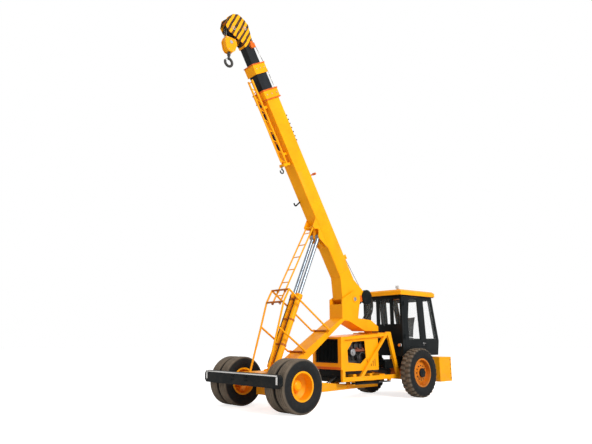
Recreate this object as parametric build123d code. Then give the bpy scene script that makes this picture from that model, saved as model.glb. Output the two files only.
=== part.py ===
"""Mobile crane: an articulated carrier with a three-section telescopic boom.

The front frame stands on four twin wheels, carries the boom on a gooseneck and reaches
back over and under the engine bay. The rear frame, with engine, cab and two large wheels,
turns between those two arms about an upright steering pin.

Axes: +X to the machine's left, +Z up, the front faces -Y. Millimetres. All pieces are
modelled from the front axle (y = 0) and the ground (z = 0), and are moved along Y
at the end, so that the origin is under the middle of the machine's box.
"""
import os
from math import cos, hypot, radians, sin

from build123d import *

# Fits and gaps
RUNNING = 0.06           # radial clearance of a pin or shaft that turns
PAD_GAP = 0.5            # sliding face to wear pad, side plate to boss
SIDE_GAP = 0.5           # end play of wheels, eyes and collars
PIN_GAP = 1.0            # end of a captive pin to the lug beside it

# Wheels
WHEELBASE = 4400.0
FRONT_TYRE_R = 527.5
FRONT_TYRE_W = 278.0
FRONT_SEAT_R = 274.0
FRONT_OUTER_X = 1275.0
TWIN_PITCH = 330.0
REAR_TYRE_R = 606.0
REAR_TYRE_W = 320.0
REAR_SEAT_R = 336.0
REAR_OUTER_X = 1000.0
RIM_WALL = 18.0
FLANGE_RISE = 17.0
FLANGE_WALL = 8.0
FRONT_SPINDLE_R = 50.0
REAR_SPINDLE_R = 60.0
LUG_COUNT = 21           # on each side of the rear tyres' treads
LUG_H = 26.0
LUG_W = 60.0
LUG_SLANT = 25.0         # away from straight across

# Boom
BOOM_ANGLE = 59.0        # above the horizontal, as parked
PIVOT_SETBACK = 730.0    # boom pivot ahead of the steering pin
PIVOT_Z = 2420.0
PIVOT_PIN_R = 50.0
HEEL_R = 200.0           # rounded foot about the pivot pin
BOOM_AXIS_N = 85.0       # how far the boom's middle line runs above its pivot
BASE_W = 330.0
BASE_H = 410.0
STAGE_2_W = 260.0
STAGE_2_H = 336.0
STAGE_3_W = 192.0
STAGE_3_H = 262.0
BOOM_WALL = 10.0
KNEE_S = 676.0           # where the box section bends down into its foot
BASE_TIP_S = 5580.0
STAGE_2_TAIL_S = 1300.0
STAGE_2_TIP_S = 6230.0
STAGE_3_TAIL_S = 1950.0
STAGE_3_TIP_S = 6720.0
COLLAR_LENGTH = 250.0
COLLAR_WALL = 32.0
TAIL_PAD_LENGTH = 220.0

# Lift cylinders
LIFT_BASE_Y = 200.0
LIFT_BASE_Z = 720.0
LIFT_EYE_S = 1850.0
LIFT_EYE_N = -210.0
LIFT_X = 92.0
LIFT_BARREL_R = 74.0
LIFT_BARREL_BORE = 62.0
LIFT_BARREL_LENGTH = 1880.0
LIFT_GLAND_LENGTH = 90.0
LIFT_ROD_R = 44.0
LIFT_EYE_R = 72.0
LIFT_PIN_R = 35.0
LIFT_EYE_W = 96.0
LIFT_TAIL = 305.0        # rod left inside the barrel, as parked

# Front frame
LEG_HALF = 220.0
TOWER_WALL = 30.0
TOWER_AHEAD = 465.0      # tower's front face ahead of the boom pivot
TOWER_BEHIND = 110.0
TOWER_FLOOR_Z = 2000.0
TOWER_FACE_Z = 2280.0
LEG_FOOT = (500.0, 850.0)    # where the leg's top face starts
LEG_HEAD = (-145.0, 1856.0)  # where it ends, from the tower's front face
LEG_BAY_GAP = 103.0      # leg's underside over the engine bay's nose
TOWER_TOP_Z = 2400.0
FRAME_HALF = 330.0
FRAME_TOP_Z = 760.0
AXLE_HALF_Y = 75.0
AXLE_HALF_Z = 80.0
AXLE_HALF_X = 600.0
ARM_TOP_Z = 350.0
ARM_BOTTOM_Z = 272.0
ARM_HALF = 300.0
ARM_TIP_HALF = 140.0
STEER_SETBACK = 950.0    # steering pin ahead of the rear axle
STEER_TOP_Z = 1640.0     # underside of the gooseneck's rear leg
STEER_TOP_PIN_R = 60.0
STEER_LOW_PIN_R = 70.0
BUMPER_HALF = 1290.0
BUMPER_FRONT_Y = -640.0
BUMPER_BACK_Y = -550.0
BUMPER_LOW_Z = 520.0
BUMPER_TOP_Z = 770.0
BUMPER_CHAMFER = 60.0

# Load guard and its ladder
TUBE_R = 22.0
BEND_RISE = 0.4          # balls in the bends over the tube itself
GUARD_X = 300.0
LADDER_X = 125.0
LADDER_RAIL_R = 19.0
RUNG_R = 12.0
LADDER_FOOT = (350.0, 2240.0)
LADDER_HEAD_NS = (-283.3, 2130.2)
RUNG_COUNT = 6
RUNG_GAP = 5.0           # rungs to the collars they pass
STRAP_YS = (960.0, 1720.0)   # cross straps on the leg that hold the guard's braces

# Rear frame
BAY_HALF = 480.0         # outside of the two side frames
BEAM_W = 60.0
BEAM_LOW_Z = 470.0
BEAM_H = 100.0
BAY_LENGTH = 1500.0      # steering pin to the front of the engine bay
BAY_FRONT_TOP_Z = 1485.0
BAY_REAR_TOP_Z = 1590.0
SHEET = 6.0
APEX_Z = 1625.0
CROSS_LOW_Z = 1470.0
CROSS_TOP_Z = 1600.0
RAIL_HALF = 420.0
RAIL_W = 60.0
RAIL_LOW_Z = 720.0
RAIL_TOP_Z = 900.0
WEIGHT_HALF = 850.0
WEIGHT_GAP = 960.0       # rear axle to the counterweight's front
WEIGHT_DEPTH = 560.0
WEIGHT_LOW_Z = 330.0
WEIGHT_TOP_Z = 970.0

# Cab
CAB_HALF = 650.0
CAB_SETBACK = 350.0      # cab front ahead of the rear axle
CAB_ROOF_LENGTH = 1370.0
CAB_BELT_LENGTH = 1630.0
CAB_FOOT_LENGTH = 1570.0
CAB_FLOOR_Z = 1020.0
CAB_FLOOR_H = 40.0
CAB_BELT_Z = 1400.0
CAB_TOP_Z = 2580.0
CAB_WALL = 40.0
GLASS = 6.0
ROOF_H = 140.0
ROOF_OVERHANG = 70.0
ROOF_WALL = 30.0
DOOR_FRONT = 100.0       # cab front to door
DOOR_LENGTH = 910.0
DOOR_LOW_Z = 1250.0
DOOR_HEAD = 40.0         # door's top below the cab's
DOOR_GAP = 6.0
HINGE_R = 14.0
HINGE_ZS = (1500.0, 2350.0)
FRONT_PANES = ((-590.0, -200.0), (-100.0, 265.0), (365.0, 590.0))   # x from, x to
FRONT_PANE_LOW_Z = 1830.0
PANE_HEAD = 100.0        # windows' tops below the cab's

# Winch, head and hook
WINCH_PLACE_NS = (474.1, -191.5)
DRUM_SHAFT_R = 30.0
DRUM_R = 120.0
DRUM_FLANGE_R = 185.0
SHEAVE_FRONT_NS = (-173.8, 7127.6)
SHEAVE_REAR_NS = (153.7, 7070.8)
HEAD_SHEAVE_R = 165.0
SHEAVE_ROOT_R = 145.0
SHEAVE_PIN_R = 28.0
HEAD_CHEEK_X = 118.0
CHEEK_WALL = 18.0
FALL_X = 40.0
ROPE_R = 7.0
BLOCK_ROOT_R = 110.0     # the block's own sheaves, at the rope's inner side
BECKET_DROP = 178.0      # front sheaves' pin down to the rear parts' cross pin
BECKET_R = 12.0
BLOCK_DROP = 245.0       # front sheaves' pin down to the block's top
BLOCK_H = 345.0
HOOK_DROP = 370.0        # block's foot down to the hook's lowest point

# Engine and driveline
LOUVRE_COUNT = 5
LOUVRE_PITCH = 75.0
LOUVRE_SETBACK = 926.0   # front of the bay to the first louvre
ENGINE_SETBACK = 300.0   # front of the bay to the engine
ENGINE_LENGTH = 900.0
ENGINE_HALF = 260.0
ENGINE_LOW_Z = 620.0
ENGINE_TOP_Z = 1400.0
AXLE_TUBE_R = 95.0
AXLE_BULGE_R = 185.0
SHAFT_HOUSING_R = 70.0

# Steering cylinders: across, and behind (+) or ahead (-) of the steering pin
STEER_CYL_BASE = (345.0, -1000.0)
STEER_CYL_EYE = (430.0, 250.0)
STEER_CYL_Z = 410.0
STEER_CYL_R = 38.0
STEER_CYL_BORE = 29.0
STEER_ROD_R = 20.0
STEER_PIN_R = 18.0
STEER_BARREL_LENGTH = 850.0
STEER_ROD_TAIL = 340.0   # rod left inside the barrel, straight ahead

# Boom places ------------------------------------------------------------------------
def boom_yz(n, s):
    """Side view place of a point n above the boom's pivot line and s along it."""
    a = radians(BOOM_ANGLE)
    return (PIVOT_Y + n * sin(a) - s * cos(a), PIVOT_Z + n * cos(a) + s * sin(a))


def boom_ns(y, z):
    """Boom place (n, s) of a point in the side view."""
    a = radians(BOOM_ANGLE)
    dy = y - PIVOT_Y
    dz = z - PIVOT_Z
    return (dy * sin(a) + dz * cos(a), dz * sin(a) - dy * cos(a))


# Worked out from the above -----------------------------------------------------------
STEER_Y = WHEELBASE - STEER_SETBACK
PIVOT_Y = STEER_Y - PIVOT_SETBACK
TOWER_FRONT_Y = PIVOT_Y - TOWER_AHEAD
TOWER_BACK_Y = PIVOT_Y + TOWER_BEHIND
LADDER_HEAD = boom_yz(*LADDER_HEAD_NS)
WINCH_PLACE = boom_yz(*WINCH_PLACE_NS)
SHEAVE_FRONT = boom_yz(*SHEAVE_FRONT_NS)
SHEAVE_REAR = boom_yz(*SHEAVE_REAR_NS)
BECKET_Z = SHEAVE_FRONT[1] - BECKET_DROP
BLOCK_TOP_Z = SHEAVE_FRONT[1] - BLOCK_DROP
BLOCK_LOW_Z = BLOCK_TOP_Z - BLOCK_H
HOOK_LOW_Z = BLOCK_LOW_Z - HOOK_DROP
DOOR_TOP_Z = CAB_TOP_Z - DOOR_HEAD
PANE_TOP_Z = CAB_TOP_Z - PANE_HEAD
BAY_FRONT_Y = STEER_Y - BAY_LENGTH
CAB_Y = WHEELBASE - CAB_SETBACK
FRONT_WHEEL_X = FRONT_OUTER_X - FRONT_TYRE_W / 2
FRONT_INNER_X = FRONT_WHEEL_X - TWIN_PITCH
REAR_WHEEL_X = REAR_OUTER_X - REAR_TYRE_W / 2
BAY_BACK_Y = STEER_Y - 130
ENGINE_FRONT_Y = BAY_FRONT_Y + ENGINE_SETBACK
HINGE_Y = CAB_Y + DOOR_FRONT - 10
HINGE_X = CAB_HALF + HINGE_R + 0.5
FRONT_FALL_Y = SHEAVE_FRONT[0] - SHEAVE_ROOT_R - ROPE_R - PIN_GAP / 2
HOOK_Y = FRONT_FALL_Y + BLOCK_ROOT_R + ROPE_R
REAR_FALL_Y = HOOK_Y + BLOCK_ROOT_R + ROPE_R


# Helpers -----------------------------------------------------------------------------
def side(points, x0, x1):
    """A plate or box with its outline in the side view, from x0 to x1."""
    outline = make_face(Polyline(*points, close=True))
    return extrude(Plane.YZ.offset(x0) * outline, x1 - x0, dir=(1, 0, 0))


def plan(points, z0, z1):
    """A plate or box with its outline in the plan view, from z0 to z1."""
    outline = make_face(Polyline(*points, close=True))
    return extrude(Plane.XY.offset(z0) * outline, z1 - z0, dir=(0, 0, 1))


def front(points, y0, y1):
    """A plate or box with its outline of (x, z) points in the front view, from y0 to y1."""
    outline = make_face(Polyline(*[(x, -z) for x, z in points], close=True))
    turned = Plane(origin=(0, y0, 0), x_dir=(1, 0, 0), z_dir=(0, 1, 0)) * outline
    return extrude(turned, y1 - y0, dir=(0, 1, 0))


def block(x0, x1, y0, y1, z0, z1):
    """A box between two corners."""
    middle = Pos((x0 + x1) / 2, (y0 + y1) / 2, (z0 + z1) / 2)
    return middle * Box(abs(x1 - x0), abs(y1 - y0), abs(z1 - z0))


def bar(start, end, radius):
    """A round bar between two points."""
    start = Vector(*start)
    run = Vector(*end) - start
    grow = (Align.CENTER, Align.CENTER, Align.MIN)
    return Plane(origin=start, z_dir=run) * Cylinder(radius, run.length, align=grow)


def disc(x0, x1, y, z, radius):
    """A round piece across the machine, from x0 to x1."""
    return bar((x0, y, z), (x1, y, z), radius)


def tube_run(points, radius):
    """Round bars joined end to end, with a ball in each bend."""
    run = bar(points[0], points[1], radius)
    for start, end in zip(points[1:], points[2:]):
        run += Pos(*start) * Sphere(radius + BEND_RISE)
        run += bar(start, end, radius)
    return run


def both(shape):
    """The shape and its mirror image on the machine's other side."""
    return shape + mirror(shape, Plane.YZ)


def ring(profile, y, z):
    """A round piece turned about a cross axis at (y, z), from (x, radius) points."""
    return Pos(0, y, z) * revolve(make_face(Polyline(*profile, close=True)), Axis.X)


def boom_side(points, x0, x1):
    """A plate or box with its outline given as (n, s) points of the boom."""
    return side([boom_yz(n, s) for n, s in points], x0, x1)


def boom_box(half_x, low_n, high_n, s0, s1):
    """A box square to the boom."""
    corners = [(low_n, s0), (high_n, s0), (high_n, s1), (low_n, s1)]
    return boom_side(corners, -half_x, half_x)


# Wheels ------------------------------------------------------------------------------
def tyre(x, y, z, radius, width, seat):
    """A tyre with its middle at x."""
    height = radius - seat
    half = width / 2
    bead = half * 0.72
    rise = seat + FLANGE_RISE
    right = [(bead, seat), (bead, rise), (half, seat + 0.5 * height),
             (half * 0.94, radius - 0.14 * height), (half * 0.78, radius)]
    left = [(-px, pr) for px, pr in reversed(right)]
    return ring([(x + px, pr) for px, pr in right + left], y, z)


def rim_band(x, y, z, width, seat):
    """The band that a tyre sits on, with a flange at each edge."""
    edge = width / 2 * 0.72
    outer = edge + FLANGE_WALL
    profile = [(-outer, seat - RIM_WALL), (outer, seat - RIM_WALL), (outer, seat + FLANGE_RISE),
               (edge, seat + FLANGE_RISE), (edge, seat), (-edge, seat),
               (-edge, seat + FLANGE_RISE), (-outer, seat + FLANGE_RISE)]
    return ring([(x + px, pr) for px, pr in profile], y, z)


def front_wheel_left():
    """Twin tyres, and their two bands on one deep dished centre with a domed hub."""
    z = FRONT_TYRE_R
    tyres = Part() + [tyre(x, 0, z, FRONT_TYRE_R, FRONT_TYRE_W, FRONT_SEAT_R)
                      for x in (FRONT_WHEEL_X, FRONT_INNER_X)]
    rims = rim_band(FRONT_WHEEL_X, 0, z, FRONT_TYRE_W, FRONT_SEAT_R)
    rims += rim_band(FRONT_INNER_X, 0, z, FRONT_TYRE_W, FRONT_SEAT_R)
    middle = (FRONT_WHEEL_X + FRONT_INNER_X) / 2
    inside = FRONT_SEAT_R - RIM_WALL
    dish = [(middle + 55, inside), (middle + 75, inside), (middle + 18, 170), (middle + 18, 120),
            (middle - 18, 120), (middle - 18, 170), (middle - 75, inside), (middle - 55, inside),
            (middle - 4, 160), (middle + 4, 160)]
    rims += ring(dish, 0, z)
    hub_start = AXLE_HALF_X + 80
    hub_end = middle + 150
    hub = [(hub_start, 0), (hub_start, 105), (middle - 18, 122), (middle + 60, 122),
           (hub_end - 20, 92), (hub_end, 62), (hub_end, 0)]
    rims += ring(hub, 0, z)
    rims -= disc(hub_start, hub_end - 30, 0, z, FRONT_SPINDLE_R + RUNNING)
    return tyres, rims


def tread_lugs(x, y, z):
    """Slanted bars round a drive tyre, in two rows that take turns."""
    slant = radians(LUG_SLANT)
    length = (REAR_TYRE_W / 2 - LUG_W * sin(slant)) / cos(slant)
    reach = (LUG_W * cos(slant) + length * sin(slant)) / 2
    top = (REAR_TYRE_R**2 - reach**2) ** 0.5
    depth = LUG_H + 20
    bars = []
    for number in range(2 * LUG_COUNT):
        hand = 1 if number % 2 else -1
        lug = Pos(hand * REAR_TYRE_W / 4, 0, top - depth / 2) * Rot(0, 0, hand * LUG_SLANT)
        turn = 180 / LUG_COUNT * number
        bars.append(Pos(x, y, z) * Rot(turn, 0, 0) * lug * Box(length, LUG_W, depth))
    return bars


def rear_wheel_left():
    """The large tyre, and its rim with a dished centre and a stepped hub."""
    y = WHEELBASE
    z = REAR_TYRE_R
    rubber = tyre(REAR_WHEEL_X, y, z, REAR_TYRE_R - LUG_H, REAR_TYRE_W, REAR_SEAT_R)
    rubber += tread_lugs(REAR_WHEEL_X, y, z)
    rim = rim_band(REAR_WHEEL_X, y, z, REAR_TYRE_W, REAR_SEAT_R)
    inside = REAR_SEAT_R - RIM_WALL
    face = REAR_WHEEL_X + 30
    dish = [(face - 50, inside), (face - 25, inside), (face + 25, 210), (face + 25, 150),
            (face, 150), (face, 200)]
    rim += ring(dish, y, z)
    hub_start = REAR_WHEEL_X - 130
    hub_end = face + 95
    hub = [(hub_start, 0), (hub_start, 130), (face - 30, 152), (face + 40, 152),
           (face + 50, 115), (hub_end, 105), (hub_end, 0)]
    rim += ring(hub, y, z)
    rim -= disc(hub_start, hub_end - 30, y, z, REAR_SPINDLE_R + RUNNING)
    return rubber, rim


# Front frame -------------------------------------------------------------------------
def gooseneck():
    """Front leg, pivot tower and rear leg, with the lower arm and the cylinder lugs."""
    axle_top = FRONT_TYRE_R + AXLE_HALF_Z
    knee = (BAY_FRONT_Y - 40, BAY_FRONT_TOP_Z + LEG_BAY_GAP)
    outline = [(330, axle_top), (620, 660), knee, (TOWER_FRONT_Y + 75, 1890), (TOWER_FRONT_Y + 245, 1870),
               (STEER_Y - 370, STEER_TOP_Z), (STEER_Y + 150, STEER_TOP_Z),
               (STEER_Y + 150, STEER_TOP_Z + 120), (STEER_Y - 130, 1915),
               (TOWER_BACK_Y, 1950), (TOWER_BACK_Y, TOWER_FLOOR_Z),
               (TOWER_FRONT_Y, TOWER_FLOOR_Z), (TOWER_FRONT_Y, 1930),
               (TOWER_FRONT_Y + LEG_HEAD[0], LEG_HEAD[1]), LEG_FOOT, (330, FRAME_TOP_Z)]
    frame = side(outline, -LEG_HALF, LEG_HALF)
    plate = [(TOWER_FRONT_Y, 1950), (TOWER_FRONT_Y, TOWER_TOP_Z), (PIVOT_Y - 60, PIVOT_Z + 190),
             (PIVOT_Y, PIVOT_Z), (PIVOT_Y + HEEL_R, PIVOT_Z), (TOWER_BACK_Y, 1950)]
    cheek = side(plate, LEG_HALF - TOWER_WALL, LEG_HALF)
    cheek += disc(LEG_HALF - TOWER_WALL, LEG_HALF, PIVOT_Y, PIVOT_Z, HEEL_R)
    cheek -= disc(0, LEG_HALF, PIVOT_Y, PIVOT_Z, PIVOT_PIN_R)
    frame += both(cheek)
    face = [(TOWER_FRONT_Y, TOWER_FLOOR_Z - 50), (TOWER_FRONT_Y, TOWER_FACE_Z),
            (TOWER_FRONT_Y + TOWER_WALL, TOWER_FACE_Z - TOWER_WALL),
            (TOWER_FRONT_Y + TOWER_WALL, TOWER_FLOOR_Z - 50)]
    frame += side(face, -LEG_HALF, LEG_HALF)
    # box over the axle, open below for the beam
    chassis = [(-330, axle_top), (-330, FRAME_TOP_Z), (700, FRAME_TOP_Z), (750, 560),
               (750, ARM_BOTTOM_Z), (AXLE_HALF_Y, ARM_BOTTOM_Z), (AXLE_HALF_Y, axle_top)]
    frame += side(chassis, -FRAME_HALF, FRAME_HALF)
    # lower arm, tapering back to the steering pin
    tip = STEER_Y + 150
    profile = [(700, ARM_BOTTOM_Z), (700, 566), (1450, 480), (2400, 375),
               (STEER_Y - 200, ARM_TOP_Z), (tip, ARM_TOP_Z), (tip, ARM_BOTTOM_Z)]
    arm = side(profile, -ARM_HALF, ARM_HALF)
    half = ARM_TIP_HALF
    taper = [(-ARM_HALF, 700), (ARM_HALF, 700), (ARM_HALF, 1600), (half, STEER_Y - 550),
             (half, tip), (-half, tip), (-half, STEER_Y - 550), (-ARM_HALF, 1600)]
    frame += arm & plan(taper, ARM_BOTTOM_Z - 1, 600)
    # steering pins, above and below the rear frame
    frame += bar((0, STEER_Y, STEER_TOP_Z), (0, STEER_Y, CROSS_LOW_Z - 30), STEER_TOP_PIN_R)
    frame += bar((0, STEER_Y, STEER_TOP_Z), (0, STEER_Y, CROSS_TOP_Z + SIDE_GAP), 105)
    frame += bar((0, STEER_Y, ARM_TOP_Z), (0, STEER_Y, BEAM_LOW_Z - SIDE_GAP), 115)
    frame += bar((0, STEER_Y, ARM_TOP_Z), (0, STEER_Y, BEAM_LOW_Z + 150), STEER_LOW_PIN_R)
    # lugs for the lift cylinders' base pin
    inner = LIFT_X - LIFT_EYE_W / 2 - SIDE_GAP
    outer = LIFT_X + LIFT_EYE_W / 2 + SIDE_GAP
    for x0, x1 in ((-inner, inner), (outer, outer + 26), (-outer - 26, -outer)):
        frame += disc(x0, x1, LIFT_BASE_Y, LIFT_BASE_Z, 85)
    well = block(inner, outer, LIFT_BASE_Y - 100, LIFT_BASE_Y + 110, LIFT_BASE_Z - 90, 850)
    frame -= both(well)
    frame -= disc(-outer - 26, outer + 26, LIFT_BASE_Y, LIFT_BASE_Z, LIFT_PIN_R)
    # arms that hold the bumper
    frame += both(block(200, 260, BUMPER_BACK_Y, -300, axle_top, axle_top + 95))
    return frame


def lift_base_pin():
    """Pin through the three base lugs and both barrels' eyes."""
    half = LIFT_X + LIFT_EYE_W / 2 + SIDE_GAP + 26
    return disc(-half, half, LIFT_BASE_Y, LIFT_BASE_Z, LIFT_PIN_R)


def front_axle():
    """Square beam between the twin wheels, with a round spindle at each end."""
    beam = block(-AXLE_HALF_X, AXLE_HALF_X, -AXLE_HALF_Y, AXLE_HALF_Y,
                 FRONT_TYRE_R - AXLE_HALF_Z, FRONT_TYRE_R + AXLE_HALF_Z)
    shoulder = AXLE_HALF_X + 80 - SIDE_GAP
    middle = (FRONT_WHEEL_X + FRONT_INNER_X) / 2
    beam += disc(-shoulder, shoulder, 0, FRONT_TYRE_R, 72)
    beam += disc(-middle - 100, middle + 100, 0, FRONT_TYRE_R, FRONT_SPINDLE_R)
    return beam


def bumper():
    """Wide front beam with cut corners."""
    high = BUMPER_TOP_Z
    low = BUMPER_LOW_Z
    cut = BUMPER_CHAMFER
    half = BUMPER_HALF
    outline = [(-half + cut, low), (half - cut, low), (half, low + cut), (half, high - cut),
               (half - cut, high), (-half + cut, high), (-half, high - cut), (-half, low + cut)]
    return front(outline, BUMPER_FRONT_Y, BUMPER_BACK_Y)


def leg_top(y):
    """Height of the front leg's top face at y."""
    head_y = TOWER_FRONT_Y + LEG_HEAD[0]
    slope = (LEG_HEAD[1] - LEG_FOOT[1]) / (head_y - LEG_FOOT[0])
    return LEG_FOOT[1] + slope * (y - LEG_FOOT[0])


def strap_places():
    """Where the two cross straps lie on the leg, in the side view, the lower one first."""
    return [(y, leg_top(y) + TUBE_R) for y in STRAP_YS]


def guard_side_left():
    """One side of the load guard: upright, and two braces back to the straps on the leg."""
    x = GUARD_X
    lower, upper = crossbar_places()
    low_strap, high_strap = strap_places()
    fork = (x, 150, 1700)
    guard = tube_run([(x, -130, FRAME_TOP_Z - 20), fork, (x, *lower), (x, *upper), (x, *high_strap)], TUBE_R)
    guard += tube_run([fork, (x, *low_strap)], TUBE_R)
    return guard - block(0, 400, -300, 100, FRAME_TOP_Z - 60, FRAME_TOP_Z)


def guard_crossbars():
    """Two bars round the ladder's rails and two straps on the leg, which tie the guard's sides."""
    bars = Part()
    reach = GUARD_X - TUBE_R - BEND_RISE
    for y, z in crossbar_places() + strap_places():
        bars += disc(-reach, reach, y, z, TUBE_R)
    bars -= side([LEG_FOOT, (TOWER_FRONT_Y + LEG_HEAD[0], LEG_HEAD[1]), (TOWER_FRONT_Y, 1000)],
                 -LEG_HALF, LEG_HALF)
    for sign in (1, -1):
        for y, z in crossbar_places():
            foot = nearest_on_ladder(y, z)
            bars += ladder_bar(sign * LADDER_X, foot - 30, foot + 30, LADDER_RAIL_R + 9)
    for sign in (1, -1):
        bars -= ladder_bar(sign * LADDER_X, -500, 2600, LADDER_RAIL_R + PAD_GAP)
    # open the collars inwards, so that the rungs pass
    dy, dz = ladder_direction()
    half = RUNG_R + RUNG_GAP
    (y0, z0), (y1, z1) = ladder_point(-500), ladder_point(2600)
    path = [(y0 - dz * half, z0 + dy * half), (y1 - dz * half, z1 + dy * half),
            (y1 + dz * half, z1 - dy * half), (y0 + dz * half, z0 - dy * half)]
    return bars - side(path, -LADDER_X, LADDER_X)


def crossbar_places():
    """Where the two crossbars pass, in the side view."""
    gap = LADDER_RAIL_R + TUBE_R + 3
    places = []
    for along in (-20, 300):
        y, z = ladder_point(along)
        dy, dz = ladder_direction()
        places.append((y - dz * gap, z + dy * gap))
    return places


def ladder_direction():
    """Unit direction of the ladder in the side view."""
    dy = LADDER_HEAD[0] - LADDER_FOOT[0]
    dz = LADDER_HEAD[1] - LADDER_FOOT[1]
    length = hypot(dy, dz)
    return dy / length, dz / length


def ladder_point(along):
    """A place on the ladder's line, measured up from its foot."""
    dy, dz = ladder_direction()
    return LADDER_FOOT[0] + dy * along, LADDER_FOOT[1] + dz * along


def nearest_on_ladder(y, z):
    """How far up the ladder's line a point in the side view lies."""
    dy, dz = ladder_direction()
    return (y - LADDER_FOOT[0]) * dy + (z - LADDER_FOOT[1]) * dz


def ladder_bar(x, start, end, radius):
    """A round bar along the ladder."""
    return bar((x, *ladder_point(start)), (x, *ladder_point(end)), radius)


def guard_ladder():
    """Two rails with rungs, which slide through the guard as the boom comes down."""
    length = hypot(LADDER_HEAD[0] - LADDER_FOOT[0], LADDER_HEAD[1] - LADDER_FOOT[1])
    ladder = ladder_bar(LADDER_X, 0, length, LADDER_RAIL_R)
    ladder += ladder_bar(-LADDER_X, 0, length, LADDER_RAIL_R)
    pitch = length / RUNG_COUNT
    for number in range(RUNG_COUNT):
        y, z = ladder_point(pitch * (number + 0.5))
        ladder += disc(-LADDER_X, LADDER_X, y, z, RUNG_R)
    y, z = LADDER_HEAD
    lug_inner = BASE_W / 2 - 18 - PIN_GAP
    ladder += disc(-lug_inner, lug_inner, y, z, LADDER_RAIL_R + 6)
    return ladder


# Boom --------------------------------------------------------------------------------
def half_height(height):
    """Lowest and highest n of a boom section of this height."""
    return BOOM_AXIS_N - height / 2, BOOM_AXIS_N + height / 2


def boom_base():
    """Foot, outer box, tip collar, and the lugs for cylinders, ladder and winch."""
    low, high = half_height(BASE_H)
    half = BASE_W / 2
    box = boom_box(half, low, high, 700, BASE_TIP_S)
    foot = [(low, 720), (low, KNEE_S), (-345, 184), (-103, -171), (0, 0), (171, -103),
            (high, 200), (high, 720)]
    box += boom_side(foot, -half, half)
    box += disc(-half, half, PIVOT_Y, PIVOT_Z, HEEL_R)
    boss = LEG_HALF - TOWER_WALL - PAD_GAP
    box += disc(-boss, boss, PIVOT_Y, PIVOT_Z, 110)
    # tip collar
    rim_low, rim_high = half_height(BASE_H + 2 * COLLAR_WALL)
    box += boom_box(half + COLLAR_WALL, rim_low, rim_high, BASE_TIP_S - COLLAR_LENGTH, BASE_TIP_S)
    # hollow for the second section, closer at the collar's pads
    in_low, in_high = half_height(BASE_H - 2 * BOOM_WALL)
    box -= boom_box(half - BOOM_WALL, in_low, in_high, KNEE_S + 80, BASE_TIP_S - 120)
    pad_low, pad_high = half_height(STAGE_2_H + 2 * PAD_GAP)
    box -= boom_box(STAGE_2_W / 2 + PAD_GAP, pad_low, pad_high, BASE_TIP_S - 200, BASE_TIP_S + 1)
    # recess in the foot's front face
    box -= boom_side([(-150, 590), (-300, 260), (-250, 235), (-100, 565)], -60, 60)
    # lugs under the boom for the two cylinder rods
    inner = LIFT_X - LIFT_EYE_W / 2 - PIN_GAP
    outer = LIFT_X + LIFT_EYE_W / 2 + PIN_GAP
    wide = outer + 25
    for x0, x1 in ((-inner, inner), (outer, wide), (-wide, -outer)):
        lug = boom_side([(low + 5, LIFT_EYE_S - 380), (low + 5, LIFT_EYE_S + 260),
                         (LIFT_EYE_N - 40, LIFT_EYE_S + 50), (LIFT_EYE_N - 70, LIFT_EYE_S),
                         (LIFT_EYE_N - 40, LIFT_EYE_S - 80)], x0, x1)
        box += lug
    # lugs for the ladder's head
    n, s = boom_ns(*LADDER_HEAD)
    ear = boom_side([(low + 5, s - 130), (low + 5, s + 170), (n - 30, s + 35), (n - 30, s - 35)],
                    half - 18, half)
    box += both(ear)
    # winch cheeks behind the foot
    y, z = WINCH_PLACE
    wn, ws = boom_ns(y, z)
    cheek = boom_side([(60, 60), (high - 5, 420), (wn + 30, ws + 60), (wn, ws - 70), (wn - 120, ws - 70)],
                      half - 20, half)
    cheek += disc(half - 20, half, y, z, 75)
    box += both(cheek)
    box -= disc(-half - 1, half + 1, y, z, DRUM_SHAFT_R + RUNNING)
    box -= disc(-boss - 1, boss + 1, PIVOT_Y, PIVOT_Z, PIVOT_PIN_R + RUNNING)
    return box


def winch_drum():
    """Drum between two flanges on a through shaft."""
    y, z = WINCH_PLACE
    half = BASE_W / 2 - 20 - SIDE_GAP
    drum = disc(-half, half, y, z, DRUM_R)
    drum += both(disc(half - 16, half, y, z, DRUM_FLANGE_R))
    drum += disc(-BASE_W / 2 - 30, BASE_W / 2 + 30, y, z, DRUM_SHAFT_R)
    return drum


def stage(width, height, tail, tip):
    """One inner boom section: box, tip collar, and wear pads round its tail."""
    low, high = half_height(height)
    in_low, in_high = half_height(height - 2 * BOOM_WALL)
    section = boom_box(width / 2, low, high, tail, tip)
    section -= boom_box(width / 2 - BOOM_WALL, in_low, in_high, tail - 1, tip + 1)
    return section


def tail_pads(width, height, carrier_width, carrier_height, tail):
    """The ring of wear pads between a section's tail and the inside of its carrier."""
    room_x = carrier_width / 2 - BOOM_WALL - PAD_GAP
    low, high = half_height(carrier_height - 2 * BOOM_WALL - 2 * PAD_GAP)
    pads = boom_box(room_x, low, high, tail, tail + TAIL_PAD_LENGTH)
    in_low, in_high = half_height(height - BOOM_WALL)
    pads -= boom_box(width / 2 - BOOM_WALL / 2, in_low, in_high, tail - 1, tail + TAIL_PAD_LENGTH + 1)
    return pads


def boom_stage_2():
    """Second section with its tail pads."""
    section = stage(STAGE_2_W, STAGE_2_H, STAGE_2_TAIL_S, STAGE_2_TIP_S - 50)
    section += tail_pads(STAGE_2_W, STAGE_2_H, BASE_W, BASE_H, STAGE_2_TAIL_S)
    return section


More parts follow.
